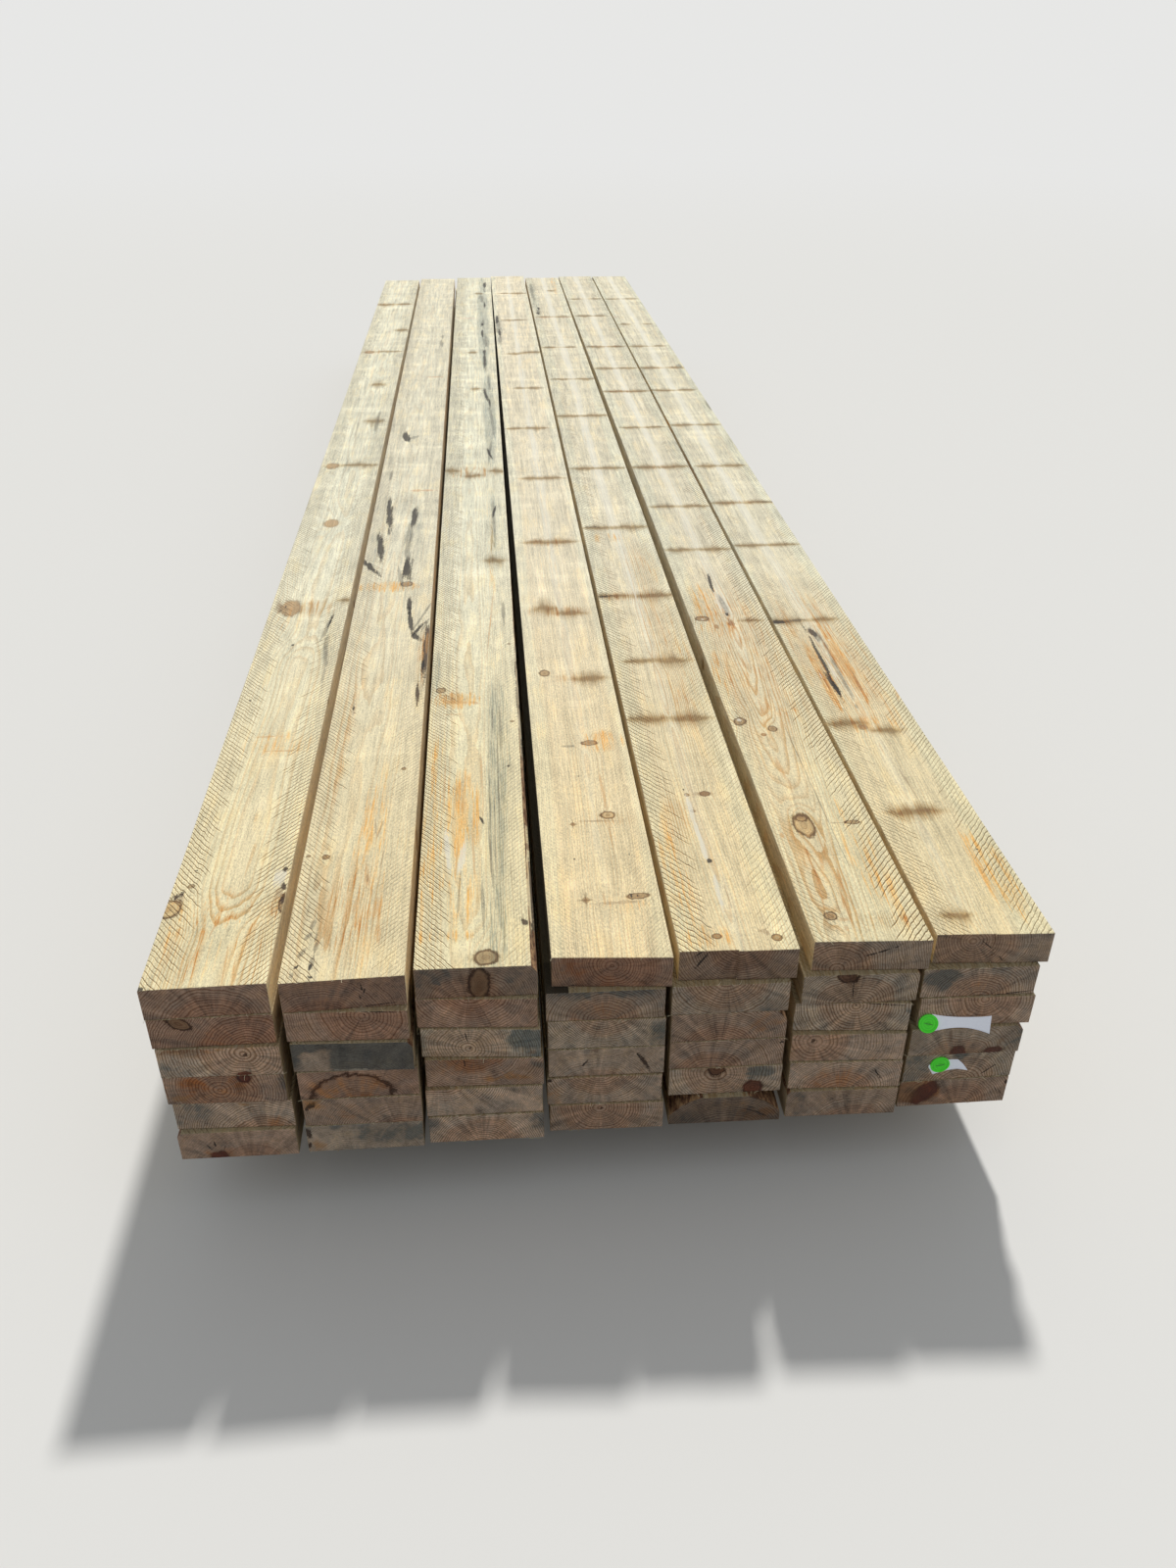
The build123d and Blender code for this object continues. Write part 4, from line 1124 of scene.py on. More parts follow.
def run_tree(tree, name, values, source=None):
    """Run a Geometry Nodes tree and return its result as an object with a plain mesh."""
    holder = add_object(name + "_source", source or bpy.data.meshes.new(name + "_source"))
    modifier = holder.modifiers.new("Nodes", "NODES")
    modifier.node_group = tree
    for item in tree.interface.items_tree:
        if item.in_out == "INPUT" and item.name in values:
            modifier[item.identifier] = values[item.name]
    mesh = plain_mesh(holder)
    mesh.name = name
    holder.modifiers.remove(modifier)
    bpy.data.objects.remove(holder)
    if not len(mesh.polygons):
        raise RuntimeError(f"{name}: its Geometry Nodes tree gave no faces")
    return add_object(name, mesh)


def set_material(piece, material):
    """Make a material the only one of a piece."""
    piece.data.materials.clear()
    piece.data.materials.append(material)


def read(items, name, width, kind=np.float32):
    """What each item of a mesh holds, one row for each."""
    values = np.zeros(len(items) * width, kind)
    items.foreach_get(name, values)
    return values.reshape(-1, width)


def move_points(mesh, points):
    """Put a mesh's points where an array says."""
    mesh.vertices.foreach_set("co", points.astype(np.float32).ravel())
    mesh.update()


def loose_solids(node):
    """The separate solids of a CAD node as arrays of points, from left to right."""
    work = bmesh.new()
    work.from_mesh(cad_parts[node].data)
    bmesh.ops.remove_doubles(work, verts=work.verts, dist=0.01 * MM)
    waiting = set(work.verts)
    solids = []
    while waiting:
        group = [waiting.pop()]
        for vertex in group:
            for edge in vertex.link_edges:
                other = edge.other_vert(vertex)
                if other in waiting:
                    waiting.remove(other)
                    group.append(other)
        solids.append(np.array([tuple(vertex.co) for vertex in group]))
    work.free()
    return sorted(solids, key=lambda points: points[:, 0].mean())


def field_name(name):
    """The name in a class for the tree's input of the same name."""
    return name.replace(" ", "_").lower()


# Corners this near to the foremost or the backmost point belong to that end, in metres
END_ZONE = 0.03


class Place:
    """Where one plank lies: its four corners in plan, its underside and its sizes."""

    def __init__(self, points):
        front = points[points[:, 1] < points[:, 1].min() + END_ZONE]
        back = points[points[:, 1] > points[:, 1].max() - END_ZONE]
        self.front_left = front[front[:, 0].argmin()][:2]
        self.front_right = front[front[:, 0].argmax()][:2]
        self.back_left = back[back[:, 0].argmin()][:2]
        self.back_right = back[back[:, 0].argmax()][:2]
        self.floor = points[:, 2].min()
        self.thickness = np.ptp(points[:, 2])

    def inputs(self):
        """The corners of the underside and the thickness, by the names of the tree's inputs."""
        named = {"Thickness": float(self.thickness)}
        for name in CORNER_INPUTS:
            across, along = getattr(self, field_name(name))
            named[name] = (float(across), float(along), float(self.floor))
        return named

    def local(self, points):
        """Points as millimetres across, along and up in this plank."""
        run = points[..., 1] - self.front_left[1]
        share = run / (self.back_left[1] - self.front_left[1])
        edge = self.front_left[0] + share * (self.back_left[0] - self.front_left[0])
        return np.stack([points[..., 0] - edge, run, points[..., 2] - self.floor], -1) / MM


class Knot:
    """A branch in the wood: a cone that runs outwards from the pith."""

    def __init__(self, root, axis, slope, reach, kind):
        self.root = np.array(root, float)
        self.axis = np.array(axis, float)
        self.axis /= np.linalg.norm(self.axis)
        flat = np.array([-self.axis[2], 0.0, self.axis[0]])
        self.flat = flat / np.linalg.norm(flat)
        self.rise = np.cross(self.axis, self.flat)
        self.slope = slope
        self.reach = reach
        self.kind = kind

    def coordinates(self, points):
        """Distances off the axis, over the cone's slope, and the run along it."""
        off = points - self.root
        run = off @ self.axis
        past = np.maximum(run - self.reach, 0.0) / (0.35 * self.reach)
        spread = (1 + past**2) / self.slope
        return np.stack([off @ self.flat * spread, off @ self.rise * spread, run], -1)


def pith_at(shown, along):
    """The pith's place across and up at each place along a plank."""
    places = np.array(shown.pith, float)
    return np.interp(along, places[:, 0], places[:, 1]), np.interp(along, places[:, 0], places[:, 2])


def grown_knots(shown, rng, length):
    """Whorls of branches at random places along a plank, for the faces with none listed."""
    knots = []
    along = rng.uniform(120, 500)
    while along < length + 100:
        turn = rng.uniform(0, 2 * math.pi)
        branches = rng.integers(2, 5)
        for branch in range(branches):
            angle = turn + branch * 2 * math.pi / branches + rng.uniform(-0.3, 0.3)
            place = along + rng.uniform(-18, 18)
            radius = rng.uniform(5, 13)
            kind = str(rng.choice(["dull", "red", "dead", "star"], p=[0.4, 0.25, 0.25, 0.1]))
            start, height = pith_at(shown, place)
            axis = (math.cos(angle), 0.16, math.sin(angle))
            knots.append(Knot((start, place, height), axis, radius / 70.0, rng.uniform(80, 200), kind))
        along += rng.uniform(330, 620)
    return knots


def lens(points, across, along, half_across, half_along, lean):
    """Coordinates in a leaning oval, 1 at its rim."""
    turn = math.radians(lean)
    x = points[..., 0] - across
    y = points[..., 1] - along
    return np.stack(
        [
            (x * math.cos(turn) + y * math.sin(turn)) / half_across,
            (y * math.cos(turn) - x * math.sin(turn)) / half_along,
        ],
        -1,
    )


def nearest(scores, count):
    """For each face, the indices of the items with the lowest scores."""
    while scores.shape[1] < count:
        scores = np.concatenate([scores, np.full((len(scores), 1), np.inf)], 1)
    order = np.argsort(scores, axis=1)[:, :count]
    return order, np.isfinite(np.take_along_axis(scores, order, 1))


def choose(values, order, found):
    """Pick each face's own items out of an array of (items, faces, corners, 3)."""
    faces = np.arange(order.shape[0])
    picked = []
    for slot in range(order.shape[1]):
        index = np.minimum(order[:, slot], len(values) - 1)
        picked.append(np.where(found[:, slot, None, None], values[index, faces], (FAR, FAR, 0.0)))
    return picked


def nearest_ovals(listed, flat, count):
    """Coordinates in the ovals of a table, and which of them are nearest to each face."""
    ovals = np.stack([lens(flat, *oval[1:]) for oval in listed])
    order, found = nearest(np.linalg.norm(ovals, axis=-1).min(2).T, count)
    return ovals, order, found


def with_third(ovals, numbers):
    """Each oval's coordinates with a number of its own as the third."""
    third = np.array(numbers, float)[:, None, None, None]
    return np.concatenate([ovals, np.broadcast_to(third, (*ovals.shape[:3], 1))], 3)


# How far a normal leans to a side for its face to lie on an end, on a wide or on a narrow face
END_LEAN = 0.75
FACE_LEAN = 0.6
# The top layer's undersides lie higher than this, in metres
COVERED = 0.3
# A face inside the wood belongs to the front end if it lies less than END_DEPTH along and
# at least as far from the left and right edge, and END_RIM from the lower and upper edge
END_DEPTH = 12.0
END_RIM = 4.0
# In the lower layers, the front of the long faces and the strip along the left edge get painted shade
LEDGE_DEPTH = 60.0
SHADED_STRIP = 25.0


class Surface:
    """A plank's mesh as arrays in the plank's own millimetres, with its faces by side."""

    def __init__(self, mesh, place):
        self.mesh = mesh
        self.covered = place.floor < COVERED
        self.thickness = place.thickness / MM
        self.local = place.local(read(mesh.vertices, "co", 3).astype(float))
        self.length = np.ptp(self.local[:, 1])
        self.corners = read(mesh.loops, "vertex_index", 1, np.int32).reshape(-1, 4)
        self.at = self.local[self.corners]
        self.middle = self.at.mean(1)
        across, along, up = self.middle.T
        turn_x, turn_y, turn_z = read(mesh.polygons, "normal", 3).T
        inside = (across > END_DEPTH) & (across < self.local[:, 0].max() - END_DEPTH)
        inside &= (up > END_RIM) & (up < self.thickness - END_RIM)
        self.front_end = (turn_y < -END_LEAN) | (inside & (along < END_DEPTH))
        self.end = self.front_end | (turn_y > END_LEAN)
        self.top = (turn_z > FACE_LEAN) & ~self.end
        self.wide = (np.abs(turn_z) > FACE_LEAN) & ~self.end
        self.side = ~self.top & ~self.end
        self.left = turn_x < -FACE_LEAN

    def write(self, name, values, domain="CORNER"):
        """Store a vector attribute."""
        attribute = self.mesh.attributes.new(name, "FLOAT_VECTOR", domain)
        attribute.data.foreach_set("vector", np.ascontiguousarray(values, np.float32).ravel())

    def drawn(self, on_top, on_end):
        """The rows for the top and for the front end, with the faces they lie on."""
        for rows, where, axes in ((on_top, self.top, [0, 1]), (on_end, self.front_end, [0, 2])):
            if rows:
                yield rows, where, self.at[where][..., axes]


def paint_grain(surface, shown, rng):
    """Distances from a pith that wanders a little, and places on the plank."""
    across, along, up = surface.local.T
    pith_x, pith_z = pith_at(shown, along)
    wave = rng.uniform(0, 2 * math.pi, 4)
    pith_x = pith_x + 2.5 * np.sin(along / 700 + wave[0]) + 1.2 * np.sin(along / 260 + wave[1])
    pith_z = pith_z + 1.2 * np.sin(along / 620 + wave[2]) + 0.6 * np.sin(along / 240 + wave[3])
    surface.write("grain", np.stack([across - pith_x, along, up - pith_z], -1), "POINT")
    surface.write("place", surface.local, "POINT")


def paint_sides(surface, log):
    """Which faces are an end or a wide face, and which are wane on the log's round."""
    pith_across, pith_up, front_radius, back_radius = log
    across, along, up = surface.local.T
    share = (along + LOG_OVERRUN) / (surface.length + 2 * LOG_OVERRUN)
    log_radius = front_radius + share * (back_radius - front_radius)
    outside = np.hypot(across - pith_across, up - pith_up) - log_radius
    wane = np.clip((outside + 1.1) / 0.5, 0, 1)[surface.corners]
    on_wane = (wane.min(1) > 0.3) & ~surface.end
    kinds = np.zeros_like(surface.at)
    kinds[..., 0] = surface.end[:, None]
    kinds[..., 1] = surface.wide[:, None]
    kinds[..., 2] = np.where(on_wane[:, None], wane, 0.0)
    surface.write("face", kinds)


def paint_tones(surface, shown, rng):
    """Brightness, coolness and ring width: the front end has its own, the back a random one. The fronts of
    the lower layers and some left sides get painted shade.
    """
    tone = np.zeros_like(surface.at)
    tone[..., 0] = shown.face[0] * rng.uniform(0.96, 1.03)
    tone[..., 1] = shown.face[1] * rng.uniform(0.985, 1.01)
    across, along, _ = surface.middle.T
    # Painted shade: the first part of each covered plank's long faces is darker and redder, as under the
    # layer above
    painted_ledge_shade = (along < LEDGE_DEPTH) & surface.covered
    tone[painted_ledge_shade, :, 0] *= 0.50
    tone[painted_ledge_shade, :, 1] *= 0.92
    # Painted shade: the narrow sides are tinted redder, like the warm bounced light in the gaps
    tone[surface.side, :, 1] *= 0.90
    # Painted shade: the side row darkens the left sides, and the covered planks along their left edge
    shaded = surface.left | (surface.covered & ~surface.end & (across < SHADED_STRIP))
    tone[shaded, :, 0] *= shown.side[0]
    for channel, low, high in ((0, 0.9, 1.08), (1, 0.93, 1.0)):
        tone[surface.end, :, channel] = rng.uniform(low, high)
        tone[surface.front_end, :, channel] = shown.end[channel]
    tone[..., 2] = shown.ring[0]
    surface.write("tone", tone)
    count = len(surface.local)
    heart = rng.uniform(44, 58)
    surface.write("ring", np.tile([shown.ring[1], rng.uniform(0, 1), heart], (count, 1)), "POINT")
    surface.write("saw", np.tile(shown.saw, (count, 1)), "POINT")


def paint_knots(surface, shown, rng):
    """The three nearest knots: branches through the wood, or flat ovals listed in the tables."""
    knots = grown_knots(shown, rng, surface.length)
    centre = np.stack([knot.coordinates(surface.middle) for knot in knots], 1)
    score = np.hypot(centre[..., 0], centre[..., 1] * 0.5) / np.maximum(centre[..., 2], 0.5)
    score[(centre[..., 2] < 0.5) | surface.end[:, None]] = np.inf
    order, found = nearest(score, 3)
    picked = choose(np.stack([knot.coordinates(surface.at) for knot in knots]), order, found)
    codes = np.array([KNOT_KINDS.index(knot.kind) for knot in knots])
    kinds = np.where(found, codes[np.minimum(order, len(codes) - 1)], 0.0)
    for rows, where, flat in surface.drawn(shown.knots, shown.end_knots):
        ovals, order, found = nearest_ovals(rows, flat, 3)
        reach = np.array([2 * max(row[3], row[4]) for row in rows])
        chosen = choose(with_third(ovals * reach[:, None, None, None], reach), order, found)
        for slot in range(3):
            picked[slot][where] = chosen[slot]
        codes = np.array([KNOT_KINDS.index(row[0]) for row in rows])
        kinds[where] = np.where(found, codes[np.minimum(order, len(codes) - 1)], 0.0)
    for slot, values in zip("abc", picked):
        surface.write("knot_" + slot, values)
    surface.write("knot_kind", np.repeat(kinds[:, None, :], 4, 1))


def paint_marks(surface, shown):
    """The two nearest marks, the later in the table on top."""
    marks = np.full((2, *surface.at.shape), (FAR, FAR, 0.0))
    for rows, where, flat in surface.drawn(shown.marks, shown.end_marks):
        ovals, order, found = nearest_ovals(rows, flat, 2)
        turned = np.argsort(order, axis=1)
        order = np.take_along_axis(order, turned, 1)
        found = np.take_along_axis(found, turned, 1)
        codes = [MARK_KINDS.index(row[0]) for row in rows]
        marks[:, where] = choose(with_third(ovals, codes), order, found)
    for slot, values in zip("ab", marks):
        surface.write("mark_" + slot, values)


def paint_stains(surface, shown, rng):
    """Soft patches: listed for the top and the front end, by chance elsewhere."""
    stain = np.zeros_like(surface.at)

    def soak(where, flat, channel, strength, oval):
        """Add a patch to some faces, the stronger winning where two meet."""
        off = lens(flat, *oval, 0)
        soft = strength * np.clip(1.25 - (off**2).sum(-1) * 0.75, 0, 1)
        stain[where, :, channel] = np.maximum(stain[where, :, channel], soft)

    for rows, where, flat in surface.drawn(shown.stains, shown.end_stains):
        for kind, strength, *oval in rows:
            soak(where, flat, STAIN_KINDS.index(kind), strength, oval)
    back_end = surface.end & ~surface.front_end
    for where, axes in ((surface.side, [2, 1]), (back_end, [0, 2])):
        for channel, chance, strength in ((0, 0.5, 0.8), (1, 0.4, 0.5), (2, 0.5, 0.6)):
            if rng.uniform() < chance:
                middle = (rng.uniform(0, surface.thickness), rng.uniform(0, surface.length))
                halves = (rng.uniform(14, 40), rng.uniform(200, 900))
                if where is back_end:
                    middle = (rng.choice([10.0, WIDTH - 10.0]), rng.uniform(0, HEIGHT))
                    halves = (rng.uniform(14, 40), rng.uniform(12, 30))
                soak(where, surface.at[where][..., axes], channel, strength, (*middle, *halves))
    surface.write("stain", stain)


# How far below the top the points lie that a mark sinks
TOP_ZONE = 6.0


def sink_marks(mesh, place, shown):
    """Cut the cracks and bark pockets of the top face into the mesh."""
    points = read(mesh.vertices, "co", 3).astype(float)
    local = place.local(points)
    on_top = local[:, 2] > place.thickness / MM - TOP_ZONE
    depth = np.zeros(len(points))
    for kind, *oval in shown.marks:
        if kind in MARK_DEPTHS:
            share = np.linalg.norm(lens(local, *oval), axis=1)
            depth = np.maximum(depth, MARK_DEPTHS[kind] * np.clip(1.35 - share, 0, 1))
    points[:, 2] -= depth * on_top * MM
    move_points(mesh, points)


def paint_plank(mesh, place, shown, log, seed):
    """Write what the wood's material reads: rings, knots, marks, stains and tones."""
    rng = np.random.default_rng(seed)
    surface = Surface(mesh, place)
    paint_grain(surface, shown, rng)
    paint_sides(surface, log)
    paint_tones(surface, shown, rng)
    paint_knots(surface, shown, rng)
    paint_marks(surface, shown)
    paint_stains(surface, shown, rng)


def point_counts(layer, column):
    """Points across, along and up: most on the top layer, fewer where little shows."""
    if layer == LAYERS[-1]:
        return 34, 330, 8
    if layer == LAYERS[0] or column in (1, 7):
        return 20, 150, 9
    return 16, 90, 9


class LUMBER_OT_planks(bpy.types.Operator):
    """Saw the planks: one mesh for each, between the corners of its solid"""

    bl_idname = "lumber.planks"
    bl_label = "Planks"

    def execute(self, context):
        sizes = context.scene.lumber_planks
        tree = plank_tree()
        material = wood_material(context.scene.lumber_wood)
        for layer in LAYERS:
            node = f"{NODE}{layer}"
            for column, points in enumerate(loose_solids(node), 1):
                place = Place(points)
                shown = look(TOP[column] if layer == LAYERS[-1] else ENDS[(layer, column)])
                log = LOGS.get((layer, column), NO_LOG)
                step = CUT_STEPS.get((layer, column), NO_STEP)
                lengths = (*zip(LOG_INPUTS, log), *zip(STEP_INPUTS, step), ("Log Overrun", LOG_OVERRUN))
                given = {name: millimetres * MM for name, millimetres in lengths}
                given.update(place.inputs())
                given.update(zip(POINT_INPUTS, point_counts(layer, column)))
                given.update((name, getattr(sizes, field_name(name))) for name in WEAR_INPUTS)
                given["Seed"] = float(sizes.seed + layer * 10 + column)
                given["Material"] = material
                piece = run_tree(tree, f"plank_{layer}_{column}", given)
                if shown.marks:
                    sink_marks(piece.data, place, shown)
                paint_plank(piece.data, place, shown, log, sizes.seed * 1000 + layer * 10 + column)
                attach(piece, "root")
                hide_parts(node)
        return {"FINISHED"}


def bearer_material(wood):
    """Rough sawn wood for the bearers, worked out from their own coordinates."""
    material, graph = new_material("bearer_wood")
    x, y, z = graph.split(graph.place())
    # The bearers lie along X, so their grain does too; millimetres from here on
    along = x * 1000.0
    across = graph.maths("WRAP", y * 1000.0 + 30.0, 600.0, -600.0)
    up = z * 1000.0 + 20.0
    broad = graph.noise((across, along * 0.10, up), 0.022, 2.0)
    streak = graph.noise((across, along * 0.035, up), 0.55, 4.0, 0.65)
    fuzz = graph.noise((across, along * 0.4, up), 0.8, 4.0, 0.7)
    radius = graph.root(across * across * 0.2 + up * up) + (broad - 0.5) * 16.0
    part = graph.maths("FRACT", radius / 2.9)
    late = graph.step(part, 0.30, 0.90) * graph.step(part, 1.0, 0.94)
    level = 0.86 + (streak - 0.5) * 0.3 + (fuzz - 0.5) * 0.4
    spots = graph.noise((across, along * 0.4, up), 0.014, 1.0)
    sawn = graph.maths("FRACT", along / 6.0 + (broad - 0.5) * 0.8)
    sawn = graph.step(sawn, 0.0, 0.2) * graph.step(sawn, 0.5, 0.2) * 0.5
    colour = graph.tint(
        wood.face,
        (late * 0.5, wood.late),
        (1.0, graph.join(level, level * 0.98, level * 0.94)),
        (graph.step(spots, 0.62, 0.70) * 0.7, wood.brown),
        (graph.step(streak, 0.58, 0.75) * 0.5, wood.blue),
        (sawn * 0.5, (0.62, 0.52, 0.42)),
    )
    relief = (fuzz - 0.5) * 0.8 - sawn * 0.4
    finish_material(graph, colour, 0.8 + (fuzz - 0.5) * 0.1, relief, 0.9, **DULL)
    return material


class LUMBER_OT_bearers(bpy.types.Operator):
    """Finish the three bearers under the stack"""

    bl_idname = "lumber.bearers"
    bl_label = "Bearers"

    def execute(self, context):
        material = bearer_material(context.scene.lumber_wood)
        for name in ("bearer_front", "bearer_middle", "bearer_back"):
            set_material(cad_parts[name], material)
        return {"FINISHED"}


def splinter_tree():
    """Geometry Nodes for torn fibres that stand along a set of edges."""
    graph = Graph(bpy.data.node_groups.new("Torn fibres", "GeometryNodeTree"))
    given = add_inputs(
        graph,
        Geometry=("Geometry",),
        Float=("Spacing", "Length", "Thickness"),
        Int=("Seed",),
        Material=("Material",),
    )
    line = graph.node("GeometryNodeMeshToCurve", inputs={0: given["Geometry"]})
    stops = graph.node(
        "GeometryNodeCurveToPoints", {"mode": "LENGTH"}, {"Curve": line, "Length": given["Spacing"]}
    )

    def chance(low, high, seed, kind="FLOAT"):
        """A random number or vector for each fibre."""
        name = "Value_001" if kind == "FLOAT" else "Value"
        low_key, high_key = ("Min_001", "Max_001") if kind == "FLOAT" else ("Min", "Max")
        return graph.node(
            "FunctionNodeRandomValue",
            {"data_type": kind},
            {low_key: low, high_key: high, "Seed": given["Seed"] + seed},
            name,
        )

    thinned = graph.node(
        "GeometryNodeDeleteGeometry",
        {"domain": "POINT"},
        {"Geometry": stops, "Selection": chance(0.0, 1.0, 1) > 0.55},
    )
    hair = graph.node(
        "GeometryNodeCurveQuadraticBezier",
        inputs={
            "Resolution": 4,
            "Start": (0.0, 0.0, -0.08),
            "Middle": (0.0, 0.0, 0.6),
            "End": (0.35, 0.1, 1.0),
        },
    )
    taper = graph.node("GeometryNodeSplineParameter", output="Factor")
    thin = graph.node(
        "GeometryNodeSetCurveRadius", inputs={"Curve": hair, "Radius": 1.0 - taper * 0.85}
    )
    ring = graph.node(
        "GeometryNodeCurvePrimitiveCircle", inputs={"Resolution": 4, "Radius": given["Thickness"]}
    )
    fibre = graph.node(
        "GeometryNodeCurveToMesh",
        inputs={"Curve": thin, "Profile Curve": ring, "Fill Caps": True},
    )
    long = chance(0.25, 1.0, 2)
    scale = graph.join(given["Length"], given["Length"], given["Length"] * long * long)
    placed = graph.node(
        "GeometryNodeInstanceOnPoints",
        inputs={
            "Points": thinned,
            "Instance": fibre,
            "Rotation": chance((0.9, -0.9, 0.0), (2.3, 0.9, 6.28), 3, "FLOAT_VECTOR"),
            "Scale": scale,
        },
    )
    close_tree(graph, placed, given["Material"])
    return graph.tree


# Radius of a torn fibre at its root, as a share of the longest fibre's length
FIBRE_RADIUS = 0.045


def fibre_material(wood):
    """Pale torn fibres."""
    material, graph = new_material("torn_fibre")
    speck = graph.noise(graph.place(), 400.0, 2.0)
    colour = graph.tint(wood.face, (speck, (0.8, 0.68, 0.5)))
    finish_material(graph, colour, 0.75 + speck * 0.1, speck * 0.1, 0.5)
    return material


class LUMBER_OT_splinters(bpy.types.Operator):
    """Set torn fibres along the edges of the sawn ends"""

    bl_idname = "lumber.splinters"
    bl_label = "Torn fibres"

    def execute(self, context):
        sizes = context.scene.lumber_planks
        corners = []
        for layer in LAYERS:
            for column, points in enumerate(loose_solids(f"{NODE}{layer}"), 1):
                if (layer, column) not in CUT_STEPS and (layer, column) not in LOGS:
                    corners += self.edge_points(Place(points))
        mesh = bpy.data.meshes.new("end_edges")
        mesh.from_pydata(corners, [(i, i + 1) for i in range(0, len(corners), 2)], [])
        fibres = run_tree(
            splinter_tree(),
            "torn_fibres",
            {
                "Spacing": sizes.splinter_spacing,
                "Length": sizes.splinter_length,
                "Thickness": FIBRE_RADIUS,
                "Seed": sizes.seed,
                "Material": fibre_material(context.scene.lumber_wood),
            },
            mesh,
        )
        keep_inside(fibres.data)
        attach(fibres, "root")
        return {"FINISHED"}

    def edge_points(self, place):
        """Both ends of the lower and upper edge at each sawn end, a little inside the wood."""
        points = []
        from_side, from_end, from_face = 2 * MM, 0.6 * MM, 0.4 * MM
        for left, right, inwards in (
            (place.front_left, place.front_right, from_end),
            (place.back_left, place.back_right, -from_end),
        ):
            for height in (place.floor + from_face, place.floor + place.thickness - from_face):
                points.append((left[0] + from_side, left[1] + inwards, height))
                points.append((right[0] - from_side, right[1] + inwards, height))
        return points


def keep_inside(mesh):
    """Press points that stand out of the CAD box back to it."""
    low, high = np.array(cad_box) + ((1e-5,), (-1e-5,))
    move_points(mesh, np.clip(read(mesh.vertices, "co", 3), low, high))


def plate_frame(node):
    """Middle, along, up and outward directions of a flat CAD plate, and its points."""
    points = np.array([tuple(vertex.co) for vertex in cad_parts[node].data.vertices])
    middle = points.mean(0)
    _, _, turns = np.linalg.svd(points - middle)
    outwards = Vector(turns[2])
    if outwards.y > 0:
        outwards = -outwards
    along = Vector((0, 0, 1)).cross(outwards)
    along.normalize()
    if along.x < 0:
        along = -along
    up = outwards.cross(along)
    if up.z < 0:
        up = -up
    low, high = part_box(node)
    return (low + high) / 2, along, up, outwards, points


def paper_material(labels):
    """Uncoated label paper with faint fibres and creases."""
    material, graph = new_material("label_paper_bare")
    fibres = graph.noise(graph.place(), 900.0, 4.0, 0.7)
    crease = graph.noise(graph.place(), 90.0, 2.0)
    shade = [channel * 0.93 for channel in labels.paper]
    colour = graph.mix(graph.step(fibres, 0.35, 0.65), shade, labels.paper)
    # Painted shade: the paper is tinted a little darker along its creases
    colour = graph.tint(colour, (graph.step(crease, 0.55, 0.75) * 0.3, (0.85, 0.86, 0.88)))
    relief = (fibres - 0.5) * 0.08 + (crease - 0.5) * 0.9
    # Painted glow: the paper gives off a little light of its own colour
    fixed = {"Emission Color": labels.paper, "Emission Strength": labels.glow}
    finish_material(graph, colour, 0.6 + (fibres - 0.5) * 0.2, relief, 0.8, **fixed)
    return material


def plastic_material(labels, button):
    """Moulded green plastic, a little scuffed, with the rings pressed into one button and painted shade in
    them and in its middle.
    """
    material, graph = new_material(button.replace("label_button", "green_plastic"))
    place = graph.place()
    middle = plate_frame(button)[0]
    out = graph.node("ShaderNodeVectorMath", {"operation": "DISTANCE"}, {0: place, 1: middle}, "Value")
    out = out / MM
    groove = 0.0
    for radius, depth in ((9.9, 1.0), (6.2, 0.7)):
        groove = groove + graph.step(graph.maths("ABSOLUTE", out - radius), 0.95, 0.15) * depth
    recess = graph.step(out, 4.2, 2.2)
    flow = graph.noise(place, 140.0, 2.0)
    scuff = graph.noise(place, 1200.0, 3.0, 0.7)
    # Painted shade: the pressed rings and the middle recess are also tinted darker
    colour = graph.tint(
        labels.plastic,
        (graph.step(flow, 0.35, 0.7) * 0.35, (0.75, 0.9, 0.75)),
        (graph.step(scuff, 0.62, 0.75) * 0.3, (0.9, 0.85, 0.8)),
        (groove * 0.6, (0.40, 0.55, 0.35)),
        (recess * 0.5, (0.40, 0.50, 0.40)),
    )
    relief = (scuff - 0.5) * 0.04 - groove * 0.4 - recess * 0.5
    # Painted glow: the plastic gives off a little light of its own colour
    fixed = {"Emission Color": labels.plastic, "Emission Strength": labels.glow}
    finish_material(graph, colour, 0.38 + scuff * 0.2, relief, 0.6, **fixed)
    return material


def steel_material(labels):
    """Dull galvanised wire."""
    material, graph = new_material("staple_wire")
    speck = graph.noise(graph.place(), 1500.0, 2.0)
    colour = graph.tint(labels.steel, (speck, (0.6, 0.6, 0.6)))
    finish_material(graph, colour, 0.35 + speck * 0.3, speck * 0.02, 0.5, Metallic=0.8)
    return material


